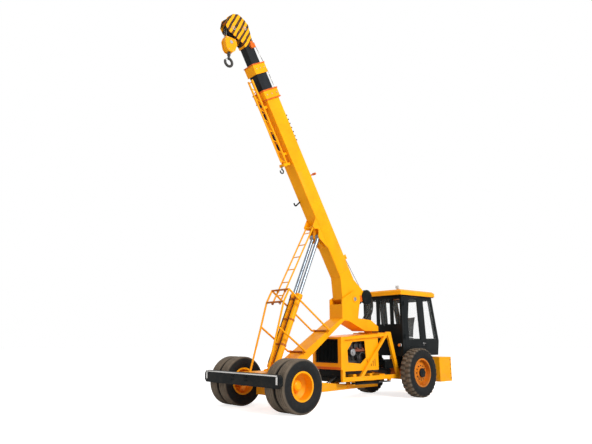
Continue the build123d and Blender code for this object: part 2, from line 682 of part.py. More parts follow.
def stage_2_collar():
    """Collar at the second section's tip, closed down to the third section's pads."""
    low, high = half_height(STAGE_2_H + 2 * COLLAR_WALL)
    start = STAGE_2_TIP_S - COLLAR_LENGTH
    collar = boom_box(STAGE_2_W / 2 + COLLAR_WALL, low, high, start, STAGE_2_TIP_S)
    low, high = half_height(STAGE_2_H)
    collar -= boom_box(STAGE_2_W / 2, low, high, start - 1, STAGE_2_TIP_S - 50)
    low, high = half_height(STAGE_3_H + 2 * PAD_GAP)
    collar -= boom_box(STAGE_3_W / 2 + PAD_GAP, low, high, start, STAGE_2_TIP_S + 1)
    return collar


def boom_stage_3():
    """Third section with its tail pads."""
    section = stage(STAGE_3_W, STAGE_3_H, STAGE_3_TAIL_S, STAGE_3_TIP_S)
    section += tail_pads(STAGE_3_W, STAGE_3_H, STAGE_2_W, STAGE_2_H, STAGE_3_TAIL_S)
    return section


def boom_head():
    """Tip collar and two cheek plates that carry the head sheaves."""
    low, high = half_height(STAGE_3_H + 36)
    head = boom_box(STAGE_3_W / 2 + 18, low, high, STAGE_3_TIP_S - 60, STAGE_3_TIP_S + 16)
    low, high = half_height(STAGE_3_H)
    head -= boom_box(STAGE_3_W / 2, low, high, STAGE_3_TIP_S - 61, STAGE_3_TIP_S)
    tip = STAGE_3_TIP_S
    outline = [(high, tip), (303, tip + 424), (238, tip + 569), (140, tip + 697), (-14, tip + 732),
               (-234, tip + 677), (-362.4, tip + 520.9), (-351, tip + 385), (-196, tip + 176), (low, tip)]
    cheek = boom_side(outline, HEAD_CHEEK_X - CHEEK_WALL, HEAD_CHEEK_X)
    head += both(cheek)
    for y, z in (SHEAVE_FRONT, SHEAVE_REAR):
        head += disc(-HEAD_CHEEK_X - 12, HEAD_CHEEK_X + 12, y, z, SHEAVE_PIN_R)
    return head + disc(-HEAD_CHEEK_X, HEAD_CHEEK_X, REAR_FALL_Y, BECKET_Z, BECKET_R)


def head_sheaves():
    """Grooved rope wheels on the two head pins."""
    wheels = Part()
    for y, z in (SHEAVE_FRONT, SHEAVE_REAR):
        for x in (-FALL_X, FALL_X):
            rim = HEAD_SHEAVE_R
            root = SHEAVE_ROOT_R
            profile = [(x - 19, SHEAVE_PIN_R), (x + 19, SHEAVE_PIN_R), (x + 19, rim), (x + 8, root),
                       (x - 8, root), (x - 19, rim)]
            wheels += ring(profile, y, z)
    return wheels


def hoist_falls():
    """The four parts of rope between the head and the hook block."""
    low = BLOCK_TOP_Z + PIN_GAP / 2
    falls = Part()
    for x in (-FALL_X, FALL_X):
        falls += bar((x, FRONT_FALL_Y, low), (x, FRONT_FALL_Y, SHEAVE_FRONT[1]), ROPE_R)
        falls += bar((x, REAR_FALL_Y, low), (x, REAR_FALL_Y, BECKET_Z - BECKET_R - PIN_GAP / 2), ROPE_R)
    return falls


def hook_block():
    """Two cheeks round a sheave, with the cross head that the hook hangs in."""
    top = BLOCK_TOP_Z - BLOCK_LOW_Z
    cheek = [(-130, top), (130, top), (165, 230), (120, 60), (60, 0), (-60, 0), (-120, 60),
             (-165, 230)]
    middle = [(-130, top), (130, top), (142, 220), (104, 68), (52, 14), (-52, 14), (-104, 68),
              (-142, 220)]
    block_ = both(side([(HOOK_Y + y, BLOCK_LOW_Z + z) for y, z in cheek], 62, 84))
    block_ += side([(HOOK_Y + y, BLOCK_LOW_Z + z) for y, z in middle], -62, 62)
    block_ -= bar((0, HOOK_Y, BLOCK_LOW_Z - 10), (0, HOOK_Y, BLOCK_LOW_Z + 130), 27 + RUNNING)
    block_ -= bar((0, HOOK_Y, BLOCK_LOW_Z + 60), (0, HOOK_Y, BLOCK_LOW_Z + 130.5), 48 + PAD_GAP)
    return block_


def hook():
    """Shank with a nut inside the block, and the hook's bend with its point."""
    shank = bar((0, HOOK_Y, BLOCK_LOW_Z - 70), (0, HOOK_Y, BLOCK_LOW_Z + 110), 27)
    shank += bar((0, HOOK_Y, BLOCK_LOW_Z + 65), (0, HOOK_Y, BLOCK_LOW_Z + 125), 48)
    middle_z = HOOK_LOW_Z + 125
    bend = Plane(origin=(0, HOOK_Y, middle_z), z_dir=(1, 0, 0)) * Torus(95, 30)
    opening = side([(HOOK_Y, middle_z), (HOOK_Y - 160, middle_z + 40), (HOOK_Y - 160, middle_z + 160),
                    (HOOK_Y - 20, middle_z + 160)], -60, 60)
    bend -= opening
    neck = bar((0, HOOK_Y, BLOCK_LOW_Z - 70), (0, HOOK_Y, middle_z + 75), 29)
    neck += bar((0, HOOK_Y, BLOCK_LOW_Z - 14), (0, HOOK_Y, BLOCK_LOW_Z - 70), 40)
    return shank + bend + neck


def fly_jib():
    """Lattice extension stowed along the underside of the boom's base section."""
    low = half_height(BASE_H)[0]
    n = low - 110
    jib = Part()
    start = 3760
    end = 5900
    for x in (-70, 70):
        jib += bar((x, *boom_yz(n, start)), (x, *boom_yz(n, end)), 24)
    jib += bar((0, *boom_yz(n - 90, start + 100)), (0, *boom_yz(n - 60, end - 60)), 20)
    for number in range(9):
        s = start + 40 + number * (end - start - 80) / 8
        jib += bar((-70, *boom_yz(n, s)), (70, *boom_yz(n, s)), 13)
    for x in (-70, 70):
        for number in range(8):
            s = start + 40 + number * (end - start - 80) / 8
            top = 90 - 30 * (number + 0.5) / 8
            jib += bar((x, *boom_yz(n, s)), (0, *boom_yz(n - top, s + 130)), 11)
    for s in (start + 260, end - 700):
        jib += boom_side([(n, s - 30), (low, s - 30), (low, s + 30), (n, s + 30)], -90, 90)
    return jib + jib_foot()


def jib_foot():
    """Plate box at the stowed jib's lower end."""
    low = half_height(BASE_H)[0]
    start = 3760
    return boom_side([(low - 20, start - 30), (low - 20, start + 30), (low - 215, start + 60),
                      (low - 235, start - 10)], -85, 85)


def jib_hook():
    """Small hook that hangs from the stowed jib's end."""
    y, z = boom_yz(half_height(BASE_H)[0] - 228, 3770)
    link = bar((0, y, z), (0, y, z - 70), 14)
    bend = Plane(origin=(0, y, z - 125), z_dir=(1, 0, 0)) * Torus(48, 16)
    bend -= side([(y - 5, z - 120), (y - 90, z - 110), (y - 90, z - 60), (y - 12, z - 60)], -30, 30)
    return link + bend - jib_foot()


# Lift cylinders ----------------------------------------------------------------------
def lift_geometry():
    """Base pin, rod eye, unit direction and length of the parked cylinders, side view."""
    eye = boom_yz(LIFT_EYE_N, LIFT_EYE_S)
    dy = eye[0] - LIFT_BASE_Y
    dz = eye[1] - LIFT_BASE_Z
    length = hypot(dy, dz)
    return eye, (dy / length, dz / length), length


def along_lift(x, start, end, radius):
    """A round piece along a lift cylinder, from start to end above its base pin."""
    _, (dy, dz), _ = lift_geometry()
    return bar((x, LIFT_BASE_Y + dy * start, LIFT_BASE_Z + dz * start),
               (x, LIFT_BASE_Y + dy * end, LIFT_BASE_Z + dz * end), radius)


def lift_barrel(x):
    """Tube with a base eye, an open bore and a gland at its mouth."""
    top = LIFT_BARREL_LENGTH
    barrel = along_lift(x, 125, top, LIFT_BARREL_R)
    barrel += along_lift(x, top - LIFT_GLAND_LENGTH, top, LIFT_BARREL_R + 9)
    barrel += along_lift(x, 30, 127, 46)
    barrel += disc(x - LIFT_EYE_W / 2, x + LIFT_EYE_W / 2, LIFT_BASE_Y, LIFT_BASE_Z, LIFT_EYE_R)
    barrel -= along_lift(x, 150, top - LIFT_GLAND_LENGTH, LIFT_BARREL_BORE)
    barrel -= along_lift(x, 200, top + 20, LIFT_ROD_R + PAD_GAP)
    barrel -= disc(x - LIFT_EYE_W, x + LIFT_EYE_W, LIFT_BASE_Y, LIFT_BASE_Z, LIFT_PIN_R + RUNNING)
    return barrel


def lift_rod(x):
    """Chromed rod with a piston, and an eye with its captive pin."""
    _, _, length = lift_geometry()
    foot = LIFT_BARREL_LENGTH - LIFT_TAIL
    rod = along_lift(x, foot, length - 40, LIFT_ROD_R)
    rod += along_lift(x, foot, foot + 70, LIFT_BARREL_BORE - PAD_GAP)
    eye = boom_yz(LIFT_EYE_N, LIFT_EYE_S)
    rod += disc(x - LIFT_EYE_W / 2, x + LIFT_EYE_W / 2, *eye, LIFT_EYE_R - 6)
    return rod


# Rear frame --------------------------------------------------------------------------
def rear_frame():
    """Two side frames with their A legs, tied by cross members that hold the steering pins."""
    inner = BAY_HALF - BEAM_W
    top = BEAM_LOW_Z + BEAM_H
    back = STEER_Y + 630
    apex = STEER_Y + 240
    left = block(inner, BAY_HALF, BAY_FRONT_Y, back, BEAM_LOW_Z, top)
    left += side([(apex - 1120, top - 10), (apex - 1010, top - 10), (apex + 30, APEX_Z),
                  (apex - 70, APEX_Z)], inner, BAY_HALF)
    left += side([(apex - 70, APEX_Z), (apex + 80, APEX_Z), (back, top - 10),
                  (back - 100, top - 10), (apex + 10, 1420)], inner, BAY_HALF)
    left += block(inner, BAY_HALF, BAY_FRONT_Y, BAY_FRONT_Y + 90, top - 1, BAY_FRONT_TOP_Z - 60)
    left += side([(BAY_FRONT_Y, bay_top(BAY_FRONT_Y) - 70), (BAY_FRONT_Y, bay_top(BAY_FRONT_Y) - SHEET),
                  (apex - 60, bay_top(apex - 60) - SHEET), (apex - 60, bay_top(apex - 60) - 70)],
                 inner, BAY_HALF)
    frame = both(left)
    for y0, y1, z0, z1 in ((ENGINE_FRONT_Y + 130, ENGINE_FRONT_Y + 230, top - 60, ENGINE_LOW_Z),
                           (ENGINE_FRONT_Y + 720, ENGINE_FRONT_Y + 820, top - 60, ENGINE_LOW_Z),
                           (STEER_Y - 110, STEER_Y + 110, BEAM_LOW_Z, top + 20),
                           (STEER_Y - 110, apex + 40, CROSS_LOW_Z, CROSS_TOP_Z)):
        frame += block(-inner - 1, inner + 1, y0, y1, z0, z1)
    x, dy = STEER_CYL_EYE
    eye_top = STEER_CYL_Z + 20 + PIN_GAP
    frame += both(block(x - 32, x + 32, STEER_Y + dy - 45, STEER_Y + dy + 45, eye_top, BEAM_LOW_Z + 10))
    frame += bar((0, STEER_Y, BEAM_LOW_Z), (0, STEER_Y, top + 40), 135)
    frame += bar((0, STEER_Y, CROSS_LOW_Z - 20), (0, STEER_Y, CROSS_TOP_Z), 125)
    frame -= bar((0, STEER_Y, BEAM_LOW_Z - 1), (0, STEER_Y, top + 60), STEER_LOW_PIN_R + RUNNING)
    frame -= bar((0, STEER_Y, CROSS_LOW_Z - 60), (0, STEER_Y, CROSS_TOP_Z + 1),
                 STEER_TOP_PIN_R + RUNNING)
    return frame


def engine_block():
    """The engine as one plain mass."""
    return block(-ENGINE_HALF, ENGINE_HALF, ENGINE_FRONT_Y, ENGINE_FRONT_Y + ENGINE_LENGTH,
                 ENGINE_LOW_Z, ENGINE_TOP_Z)


def gearbox():
    """Gearbox and shaft housing from the engine back to the rear axle."""
    start = ENGINE_FRONT_Y + ENGINE_LENGTH
    box = block(-190, 190, start, start + 420, ENGINE_LOW_Z + 20, 1050)
    nose_y = WHEELBASE - AXLE_BULGE_R - 50
    box += bar((0, start + 410, REAR_TYRE_R + 100), (0, nose_y + 10, REAR_TYRE_R), SHAFT_HOUSING_R)
    box += bar((0, nose_y - 20, REAR_TYRE_R), (0, nose_y + 50, REAR_TYRE_R), SHAFT_HOUSING_R + 20)
    return box


def radiator():
    """Cooler core behind the nose."""
    return block(-380, 380, BAY_FRONT_Y + 70, BAY_FRONT_Y + 170, BEAM_LOW_Z + BEAM_H, 1430)


def nose():
    """Front panel of the engine bay, with a wide opening for the grille."""
    panel = block(-BAY_HALF, BAY_HALF, BAY_FRONT_Y - 40, BAY_FRONT_Y, 740, BAY_FRONT_TOP_Z)
    return panel - block(-360, 360, BAY_FRONT_Y - 41, BAY_FRONT_Y + 1, 905, 1425)


def grille():
    """Upright slats in the nose's opening."""
    bars = block(-360, 360, BAY_FRONT_Y - 34, BAY_FRONT_Y - 4, 905, 1425)
    bars -= block(-345, 345, BAY_FRONT_Y - 35, BAY_FRONT_Y - 3, 920, 1410)
    for number in range(15):
        x = -322 + number * 46
        bars += block(x - 5, x + 5, BAY_FRONT_Y - 34, BAY_FRONT_Y - 4, 918, 1412)
    return bars


def bay_top(y):
    """Height of the engine bay's sloping top at y, over the cover."""
    slope = (BAY_REAR_TOP_Z - BAY_FRONT_TOP_Z) / (STEER_Y + 180 - BAY_FRONT_Y)
    return BAY_FRONT_TOP_Z + slope * (y - BAY_FRONT_Y)


def side_sheet_left():
    """Side sheet of the engine bay, inside the A frame, with a wide opening to the engine."""
    x1 = BAY_HALF - BEAM_W
    x0 = x1 - SHEET
    start = BAY_FRONT_Y + 10
    back = BAY_BACK_Y
    sheet = side([(start, 700), (start, bay_top(start) - SHEET), (back, bay_top(back) - SHEET),
                  (back, 700)], x0, x1)
    sheet -= side([(BAY_FRONT_Y + 260, 900), (BAY_FRONT_Y + 240, 1180), (BAY_FRONT_Y + 420, 1380),
                   (BAY_FRONT_Y + 860, 1400), (BAY_FRONT_Y + 900, 1000), (BAY_FRONT_Y + 700, 860)],
                  x0 - 1, x1 + 1)
    for number in range(LOUVRE_COUNT):
        slot = BAY_FRONT_Y + LOUVRE_SETBACK + number * LOUVRE_PITCH
        sheet -= block(x0 - 1, x1 + 1, slot, slot + LOUVRE_PITCH / 3, 790, 970)
    return sheet


def engine_top():
    """Top cover of the engine bay, rising to the rear."""
    back = BAY_BACK_Y
    return side([(BAY_FRONT_Y, BAY_FRONT_TOP_Z - SHEET), (BAY_FRONT_Y, BAY_FRONT_TOP_Z),
                 (back, bay_top(back)), (back, bay_top(back) - SHEET)], -BAY_HALF, BAY_HALF)


def belly_tank():
    """Oil tank low at the front of the bay."""
    half = BAY_HALF - BEAM_W
    tank = block(-half, half, BAY_FRONT_Y + 20, ENGINE_FRONT_Y + 100, BEAM_LOW_Z - 15,
                 BEAM_LOW_Z + BEAM_H)
    return chamfer(tank.edges().filter_by(Axis.X), 20)


def chassis_rails():
    """Two rails from the side frames back to the counterweight, with cab and axle mounts."""
    y0 = STEER_Y + 120
    y1 = WHEELBASE + WEIGHT_GAP
    inner = RAIL_HALF - RAIL_W
    left = block(inner, RAIL_HALF, y0, y1, RAIL_LOW_Z, RAIL_TOP_Z)
    left += block(inner, RAIL_HALF, WHEELBASE - 110, WHEELBASE + 110, REAR_TYRE_R + 60, RAIL_LOW_Z)
    for y in (CAB_Y + 120, CAB_Y + CAB_FOOT_LENGTH - 330):
        left += block(inner, RAIL_HALF, y - 50, y + 50, RAIL_TOP_Z, CAB_FLOOR_Z)
    rails = both(left)
    for y in (STEER_Y + 330, WHEELBASE + 500, y1 - 60):
        rails += block(-inner - 1, inner + 1, y, y + 60, RAIL_LOW_Z + 70, RAIL_TOP_Z)
    return rails - disc(-700, 700, WHEELBASE, REAR_TYRE_R, AXLE_TUBE_R)


def rear_axle():
    """Driven axle: round housing with a bulged middle, and a spindle at each end."""
    shoulder = REAR_WHEEL_X - 130 - SIDE_GAP
    end = REAR_WHEEL_X + 70
    half = [(60, AXLE_BULGE_R), (150, 140), (210, AXLE_TUBE_R), (shoulder, AXLE_TUBE_R),
            (shoulder, REAR_SPINDLE_R), (end, REAR_SPINDLE_R), (end, 0)]
    other = [(-x, radius) for x, radius in reversed(half)]
    return ring(other + half, WHEELBASE, REAR_TYRE_R)


def counterweight():
    """Heavy box across the rear end."""
    y0 = WHEELBASE + WEIGHT_GAP
    weight = block(-WEIGHT_HALF, WEIGHT_HALF, y0, y0 + WEIGHT_DEPTH, WEIGHT_LOW_Z, WEIGHT_TOP_Z)
    return chamfer(weight.edges().filter_by(Axis.Z), 12)


# Cab ---------------------------------------------------------------------------------
def cab_outline(inset):
    """The cab's side view, drawn in by inset."""
    y = CAB_Y
    low = CAB_FLOOR_Z
    return [(y + inset, low), (y + inset, CAB_TOP_Z), (y + CAB_ROOF_LENGTH - inset, CAB_TOP_Z),
            (y + CAB_BELT_LENGTH - inset, CAB_BELT_Z), (y + CAB_FOOT_LENGTH - inset, low)]


def back_edge(z):
    """Where the cab's rear wall stands at height z above the belt."""
    share = (z - CAB_BELT_Z) / (CAB_TOP_Z - CAB_BELT_Z)
    return CAB_Y + CAB_BELT_LENGTH + share * (CAB_ROOF_LENGTH - CAB_BELT_LENGTH)


def door_outline(inset):
    """The door's side view, drawn in by inset. Its rear edge leans forward to the top."""
    y0 = CAB_Y + DOOR_FRONT
    y1 = y0 + DOOR_LENGTH
    return [(y0 + inset, DOOR_LOW_Z + inset), (y0 + inset, DOOR_TOP_Z - inset),
            (y1 - 100 - inset, DOOR_TOP_Z - inset), (y1 - inset, DOOR_LOW_Z + inset)]


def door_window():
    """Outline of the window in the door."""
    y0 = CAB_Y + DOOR_FRONT
    return [(y0 + 170, CAB_BELT_Z + 30), (y0 + 150, 1900), (y0 + 230, PANE_TOP_Z), (y0 + 600, PANE_TOP_Z),
            (y0 + 690, CAB_BELT_Z + 30)]


def quarter_window():
    """Outline of the window behind the door."""
    y0 = CAB_Y + DOOR_FRONT + DOOR_LENGTH
    return [(y0 + 30, CAB_BELT_Z + 30), (y0 - 50, PANE_TOP_Z), (back_edge(PANE_TOP_Z) - 80, PANE_TOP_Z),
            (back_edge(CAB_BELT_Z + 30) - 80, CAB_BELT_Z + 30)]


def front_pane(x0, x1):
    """Outline of one front window in the front view."""
    return [(x0, FRONT_PANE_LOW_Z), (x1, FRONT_PANE_LOW_Z), (x1, PANE_TOP_Z),
            (x0, PANE_TOP_Z)]


def rear_window_cut():
    """Block that opens the rear wall for its window."""
    return block(-520, 520, CAB_Y + CAB_ROOF_LENGTH - 200, CAB_Y + CAB_BELT_LENGTH + 50,
                 CAB_BELT_Z + 60, PANE_TOP_Z)


def cab_body():
    """Walls and pillars, with the door and window openings cut through."""
    shell = side(cab_outline(0), -CAB_HALF, CAB_HALF)
    inside = side([(y, z + (60 if z == CAB_TOP_Z else -60 if z == CAB_FLOOR_Z else 0))
                   for y, z in cab_outline(CAB_WALL)], -CAB_HALF + CAB_WALL, CAB_HALF - CAB_WALL)
    shell -= inside
    shell -= side(door_outline(-DOOR_GAP), CAB_HALF - CAB_WALL - 1, CAB_HALF + 1)
    shell -= side(quarter_window(), -CAB_HALF - 1, CAB_HALF + 1)
    shell -= side(door_window(), -CAB_HALF - 1, 0)
    for x0, x1 in FRONT_PANES:
        shell -= front(front_pane(x0, x1), CAB_Y - 1, CAB_Y + CAB_WALL + 1)
    shell -= rear_window_cut()
    for z in HINGE_ZS:
        shell += bar((HINGE_X, HINGE_Y, z - 60), (HINGE_X, HINGE_Y, z), HINGE_R)
        shell += block(CAB_HALF - 1, HINGE_X - 4, HINGE_Y - 60, HINGE_Y, z - 60, z)
    return shell


def cab_floor():
    """Floor plate, set inside the walls."""
    inside = CAB_HALF - CAB_WALL
    return block(-inside, inside, CAB_Y + CAB_WALL, CAB_Y + CAB_FOOT_LENGTH - CAB_WALL - 2,
                 CAB_FLOOR_Z, CAB_FLOOR_Z + CAB_FLOOR_H)


def cab_roof():
    """Roof cap with cut edges all round."""
    y0 = CAB_Y - 100
    y1 = CAB_Y + CAB_ROOF_LENGTH + 60
    half = CAB_HALF + ROOF_OVERHANG
    roof = block(-half, half, y0, y1, CAB_TOP_Z, CAB_TOP_Z + ROOF_H)
    roof = chamfer(roof.faces().sort_by(Axis.Z)[-1].edges(), 45)
    rim = CAB_WALL + 10
    return roof - block(rim - CAB_HALF, CAB_HALF - rim, CAB_Y + rim, CAB_Y + CAB_ROOF_LENGTH - rim,
                        CAB_TOP_Z - 1, CAB_TOP_Z + ROOF_H - ROOF_WALL)


def cab_glass():
    """All the fixed panes, each in the middle of its wall."""
    x0 = CAB_HALF - CAB_WALL / 2 - GLASS / 2
    panes = Part()
    panes += side(quarter_window(), x0, x0 + GLASS)
    panes += side(quarter_window(), -x0 - GLASS, -x0)
    panes += side(door_window(), -x0 - GLASS, -x0)
    y0 = CAB_Y + CAB_WALL / 2 - GLASS / 2
    for a, b in FRONT_PANES:
        panes += front(front_pane(a, b), y0, y0 + GLASS)
    wall = side(cab_outline(CAB_WALL / 2 - GLASS / 2), -520, 520)
    wall -= side(cab_outline(CAB_WALL / 2 + GLASS / 2), -521, 521)
    panes += wall & rear_window_cut()
    return panes


def cab_door():
    """Door frame with its window cut, and its two hinge knuckles."""
    door = side(door_outline(0), CAB_HALF - CAB_WALL, CAB_HALF)
    door -= side(door_window(), CAB_HALF - CAB_WALL - 1, CAB_HALF + 1)
    for z in HINGE_ZS:
        knuckle = bar((HINGE_X, HINGE_Y, z + SIDE_GAP), (HINGE_X, HINGE_Y, z + 60), HINGE_R)
        leaf = block(CAB_HALF + 0.5, HINGE_X - 4, HINGE_Y, HINGE_Y + 80, z + 2, z + 58)
        leaf += block(CAB_HALF - 1, HINGE_X - 4, HINGE_Y + 20, HINGE_Y + 80, z + 2, z + 58)
        door += knuckle + leaf
    handle_y = CAB_Y + DOOR_FRONT + DOOR_LENGTH - 60
    door += block(CAB_HALF - 1, CAB_HALF + 30, handle_y - 70, handle_y, 1320, 1350)
    return door


def door_glass():
    """The door's pane."""
    x0 = CAB_HALF - CAB_WALL / 2 - GLASS / 2
    return side(door_window(), x0, x0 + GLASS)


def seat():
    """Driver's seat on a pedestal."""
    y = CAB_Y + 800
    z = CAB_FLOOR_Z + CAB_FLOOR_H
    chair = block(-170, 170, y - 150, y + 150, z, z + 330)
    chair += block(-250, 250, y - 260, y + 230, z + 330, z + 450)
    back = side([(y + 160, z + 430), (y + 260, z + 430), (y + 370, z + 1000), (y + 290, z + 1000)],
                -230, 230)
    return chair + back


def steering_column():
    """Leaning column with its wheel, made about its foot and then put in place."""
    column = bar((0, -120, -10), (0, 0, 620), 40)
    column -= block(-60, 60, -200, 0, -60, 0)
    hub = Plane(origin=(0, 0, 620), z_dir=(0, 120, 620))
    wheel = Torus(195, 15) + Cylinder(46, 36)
    for turn in (10, 130, 250):
        a = radians(turn)
        wheel += bar((30 * cos(a), 30 * sin(a), 0), (195 * cos(a), 195 * sin(a), 0), 12)
    column += hub * wheel
    return Pos(0, CAB_Y + 470, CAB_FLOOR_Z + CAB_FLOOR_H) * column


def dashboard():
    """Console across the front wall, under the windows."""
    y = CAB_Y + CAB_WALL
    inside = CAB_HALF - CAB_WALL
    return side([(y, 1450), (y, 1800), (y + 80, 1800), (y + 190, 1700), (y + 190, 1560), (y + 60, 1450)],
                -inside + 5, inside - 5)


def front_lamp(x):
    """Round lamp low on the cab's front."""
    return bar((x, CAB_Y, 1290), (x, CAB_Y - 45, 1290), 42)


def roof_lamp():
    """Small work lamp on the roof's front corner."""
    y = CAB_Y - 100
    z = CAB_TOP_Z + ROOF_H
    lamp = block(540, 600, y + 60, y + 110, z, z + 30)
    return lamp + block(520, 620, y + 50, y + 120, z + 30, z + 100)


def air_cleaner():
    """Round filter canister beside the engine."""
    y = ENGINE_FRONT_Y + 140
    return bar((ENGINE_HALF, y, 1130), (ENGINE_HALF + 150, y, 1130), 95)


def steer_cylinder(side_sign):
    """Barrel and rod of one steering cylinder, from the lower arm to the rear frame."""
    x0 = side_sign * STEER_CYL_BASE[0]
    x1 = side_sign * STEER_CYL_EYE[0]
    base = Vector(x0, STEER_Y + STEER_CYL_BASE[1], STEER_CYL_Z)
    eye = Vector(x1, STEER_Y + STEER_CYL_EYE[1], STEER_CYL_Z)
    run = (eye - base).normalized()
    length = (eye - base).length
    mouth = STEER_BARREL_LENGTH
    barrel = bar(base + run * 75, base + run * mouth, STEER_CYL_R)
    barrel += bar(base, base + run * 80, STEER_ROD_R)
    barrel += bar(base + run * (mouth - 40), base + run * mouth, STEER_CYL_R + 6)
    barrel += Pos(*base) * Cylinder(46, 44)
    barrel -= bar(base + run * 90, base + run * (mouth - 40), STEER_CYL_BORE)
    barrel -= bar(base + run * 90, base + run * (mouth + 1), STEER_ROD_R + PAD_GAP)
    barrel -= Pos(*base) * Cylinder(STEER_PIN_R + RUNNING, 60)
    foot = mouth - STEER_ROD_TAIL
    rod = bar(base + run * foot, base + run * (length - 20), STEER_ROD_R)
    rod += bar(base + run * foot, base + run * (foot + 40), STEER_CYL_BORE - PAD_GAP)
    rod += Pos(*eye) * Cylinder(38, 40)
    return barrel, rod


def steer_lugs():
    """Forks on the lower arm for the steering cylinders' base pins."""
    x, dy = STEER_CYL_BASE
    y = STEER_Y + dy
    lugs = Part()
    for z0, z1 in ((STEER_CYL_Z - 40, STEER_CYL_Z - 22.5), (STEER_CYL_Z + 22.5, STEER_CYL_Z + 40)):
        lugs += block(150, x, y - 45, y + 45, z0, z1)
        lugs += Pos(x, y, (z0 + z1) / 2) * Cylinder(45, z1 - z0)
    lugs += Pos(x, y, STEER_CYL_Z) * Cylinder(STEER_PIN_R, 90)
    lugs += block(150, 215, y - 45, y + 45, ARM_TOP_Z - 40, STEER_CYL_Z + 40)
    return both(lugs)


# Build -------------------------------------------------------------------------------
def all_parts():
    """Every piece by its node's name."""
    front_tyres, front_rims = front_wheel_left()
    rear_tyre, rear_rim = rear_wheel_left()
    parts = {
        "front_tyres_left": front_tyres,
        "front_tyres_right": mirror(front_tyres, Plane.YZ),
        "front_rims_left": front_rims,
        "front_rims_right": mirror(front_rims, Plane.YZ),
        "rear_tyre_left": rear_tyre,
        "rear_tyre_right": mirror(rear_tyre, Plane.YZ),
        "rear_rim_left": rear_rim,
        "rear_rim_right": mirror(rear_rim, Plane.YZ),
        "front_frame": gooseneck() + steer_lugs(),
        "front_axle": front_axle(),
        "bumper": bumper(),
        "boom_pin": disc(-LEG_HALF - 14, LEG_HALF + 14, PIVOT_Y, PIVOT_Z, PIVOT_PIN_R),
        "lift_base_pin": lift_base_pin(),
        "guard_side_left": guard_side_left(),
        "guard_side_right": mirror(guard_side_left(), Plane.YZ),
        "guard_crossbars": guard_crossbars(),
        "guard_ladder": guard_ladder(),
        "boom_base": boom_base(),
        "winch_drum": winch_drum(),
        "boom_stage_2": boom_stage_2(),
        "stage_2_collar": stage_2_collar(),
        "boom_stage_3": boom_stage_3(),
        "boom_head": boom_head(),
        "head_sheaves": head_sheaves(),
        "hoist_falls": hoist_falls(),
        "hook_block": hook_block(),
        "hook": hook(),
        "fly_jib": fly_jib(),
        "jib_hook": jib_hook(),
        "lift_barrels": lift_barrel(LIFT_X) + lift_barrel(-LIFT_X),
        "lift_rods": lift_rods(),
        "rear_frame": rear_frame(),
        "chassis_rails": chassis_rails(),
        "rear_axle": rear_axle(),
        "engine_block": engine_block(),
        "gearbox": gearbox(),
        "radiator": radiator(),
        "nose_panel": nose(),
        "grille": grille(),
        "side_sheet_left": side_sheet_left(),
        "side_sheet_right": mirror(side_sheet_left(), Plane.YZ),
        "engine_top": engine_top(),
        "belly_tank": belly_tank(),
        "air_cleaner": air_cleaner(),
        "counterweight": counterweight(),
        "cab_body": cab_body(),
        "cab_floor": cab_floor(),
        "cab_roof": cab_roof(),
        "cab_glass": cab_glass(),
        "cab_door": cab_door(),
        "door_glass": door_glass(),
        "seat": seat(),
        "steering_column": steering_column(),
        "dashboard": dashboard(),
        "lamps": front_lamp(560) + front_lamp(-560) + roof_lamp(),
    }
    for name, sign in (("left", 1), ("right", -1)):
        barrel, rod = steer_cylinder(sign)
        parts[f"steer_barrel_{name}"] = barrel
        parts[f"steer_rod_{name}"] = rod
    return parts


def lift_rods():
    """Both rods on their captive pin, one piece as the pin ties them."""
    return lift_rod(LIFT_X) + lift_rod(-LIFT_X)


def main():
    """Write each piece, moved so that the origin is under the middle of the whole box."""
    parts = all_parts()
    boxes = [shape.bounding_box() for shape in parts.values()]
    low = min(box.min.Y for box in boxes)
    high = max(box.max.Y for box in boxes)
    shift = -(low + high) / 2
    os.makedirs("parts", exist_ok=True)
    for name, shape in parts.items():
        export_step(Pos(0, shift, 0) * shape, f"parts/{name}.step")
    print(f"{len(parts)} pieces, moved {shift:.3f} mm along Y")


if __name__ == "__main__":
    main()
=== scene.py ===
"""Dresses the mobile crane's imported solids: paint, rubber, glass, small gear and the studio.

Everything is in metres in the row's own frame: +X is the machine's left, the front faces -Y
and +Z is up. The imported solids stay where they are; each class below takes its places from
their boxes, builds the small gear that the solids leave out, and gives every piece a finish.
"""
from __future__ import annotations

import logging
import math
from dataclasses import dataclass, field
from enum import Enum

import bpy
from mathutils import Matrix, Vector

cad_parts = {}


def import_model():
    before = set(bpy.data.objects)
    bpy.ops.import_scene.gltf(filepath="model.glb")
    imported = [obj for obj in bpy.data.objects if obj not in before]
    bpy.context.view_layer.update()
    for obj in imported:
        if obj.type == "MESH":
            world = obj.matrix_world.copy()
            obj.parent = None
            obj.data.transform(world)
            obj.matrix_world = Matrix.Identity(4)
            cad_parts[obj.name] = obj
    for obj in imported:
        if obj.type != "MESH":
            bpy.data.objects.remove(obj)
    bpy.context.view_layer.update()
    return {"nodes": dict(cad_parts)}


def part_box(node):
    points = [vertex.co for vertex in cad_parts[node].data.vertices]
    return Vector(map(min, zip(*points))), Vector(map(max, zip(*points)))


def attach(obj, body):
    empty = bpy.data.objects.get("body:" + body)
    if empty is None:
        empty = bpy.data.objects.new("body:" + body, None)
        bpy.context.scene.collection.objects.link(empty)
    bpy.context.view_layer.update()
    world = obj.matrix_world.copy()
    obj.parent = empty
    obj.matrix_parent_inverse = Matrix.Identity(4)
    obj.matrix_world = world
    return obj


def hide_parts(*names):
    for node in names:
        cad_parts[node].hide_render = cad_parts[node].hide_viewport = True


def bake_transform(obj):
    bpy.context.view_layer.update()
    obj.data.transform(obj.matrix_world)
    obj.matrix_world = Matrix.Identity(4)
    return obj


LOG = logging.getLogger("mobile_crane")
X_AXIS = Vector((1.0, 0.0, 0.0))
Y_AXIS = Vector((0.0, 1.0, 0.0))
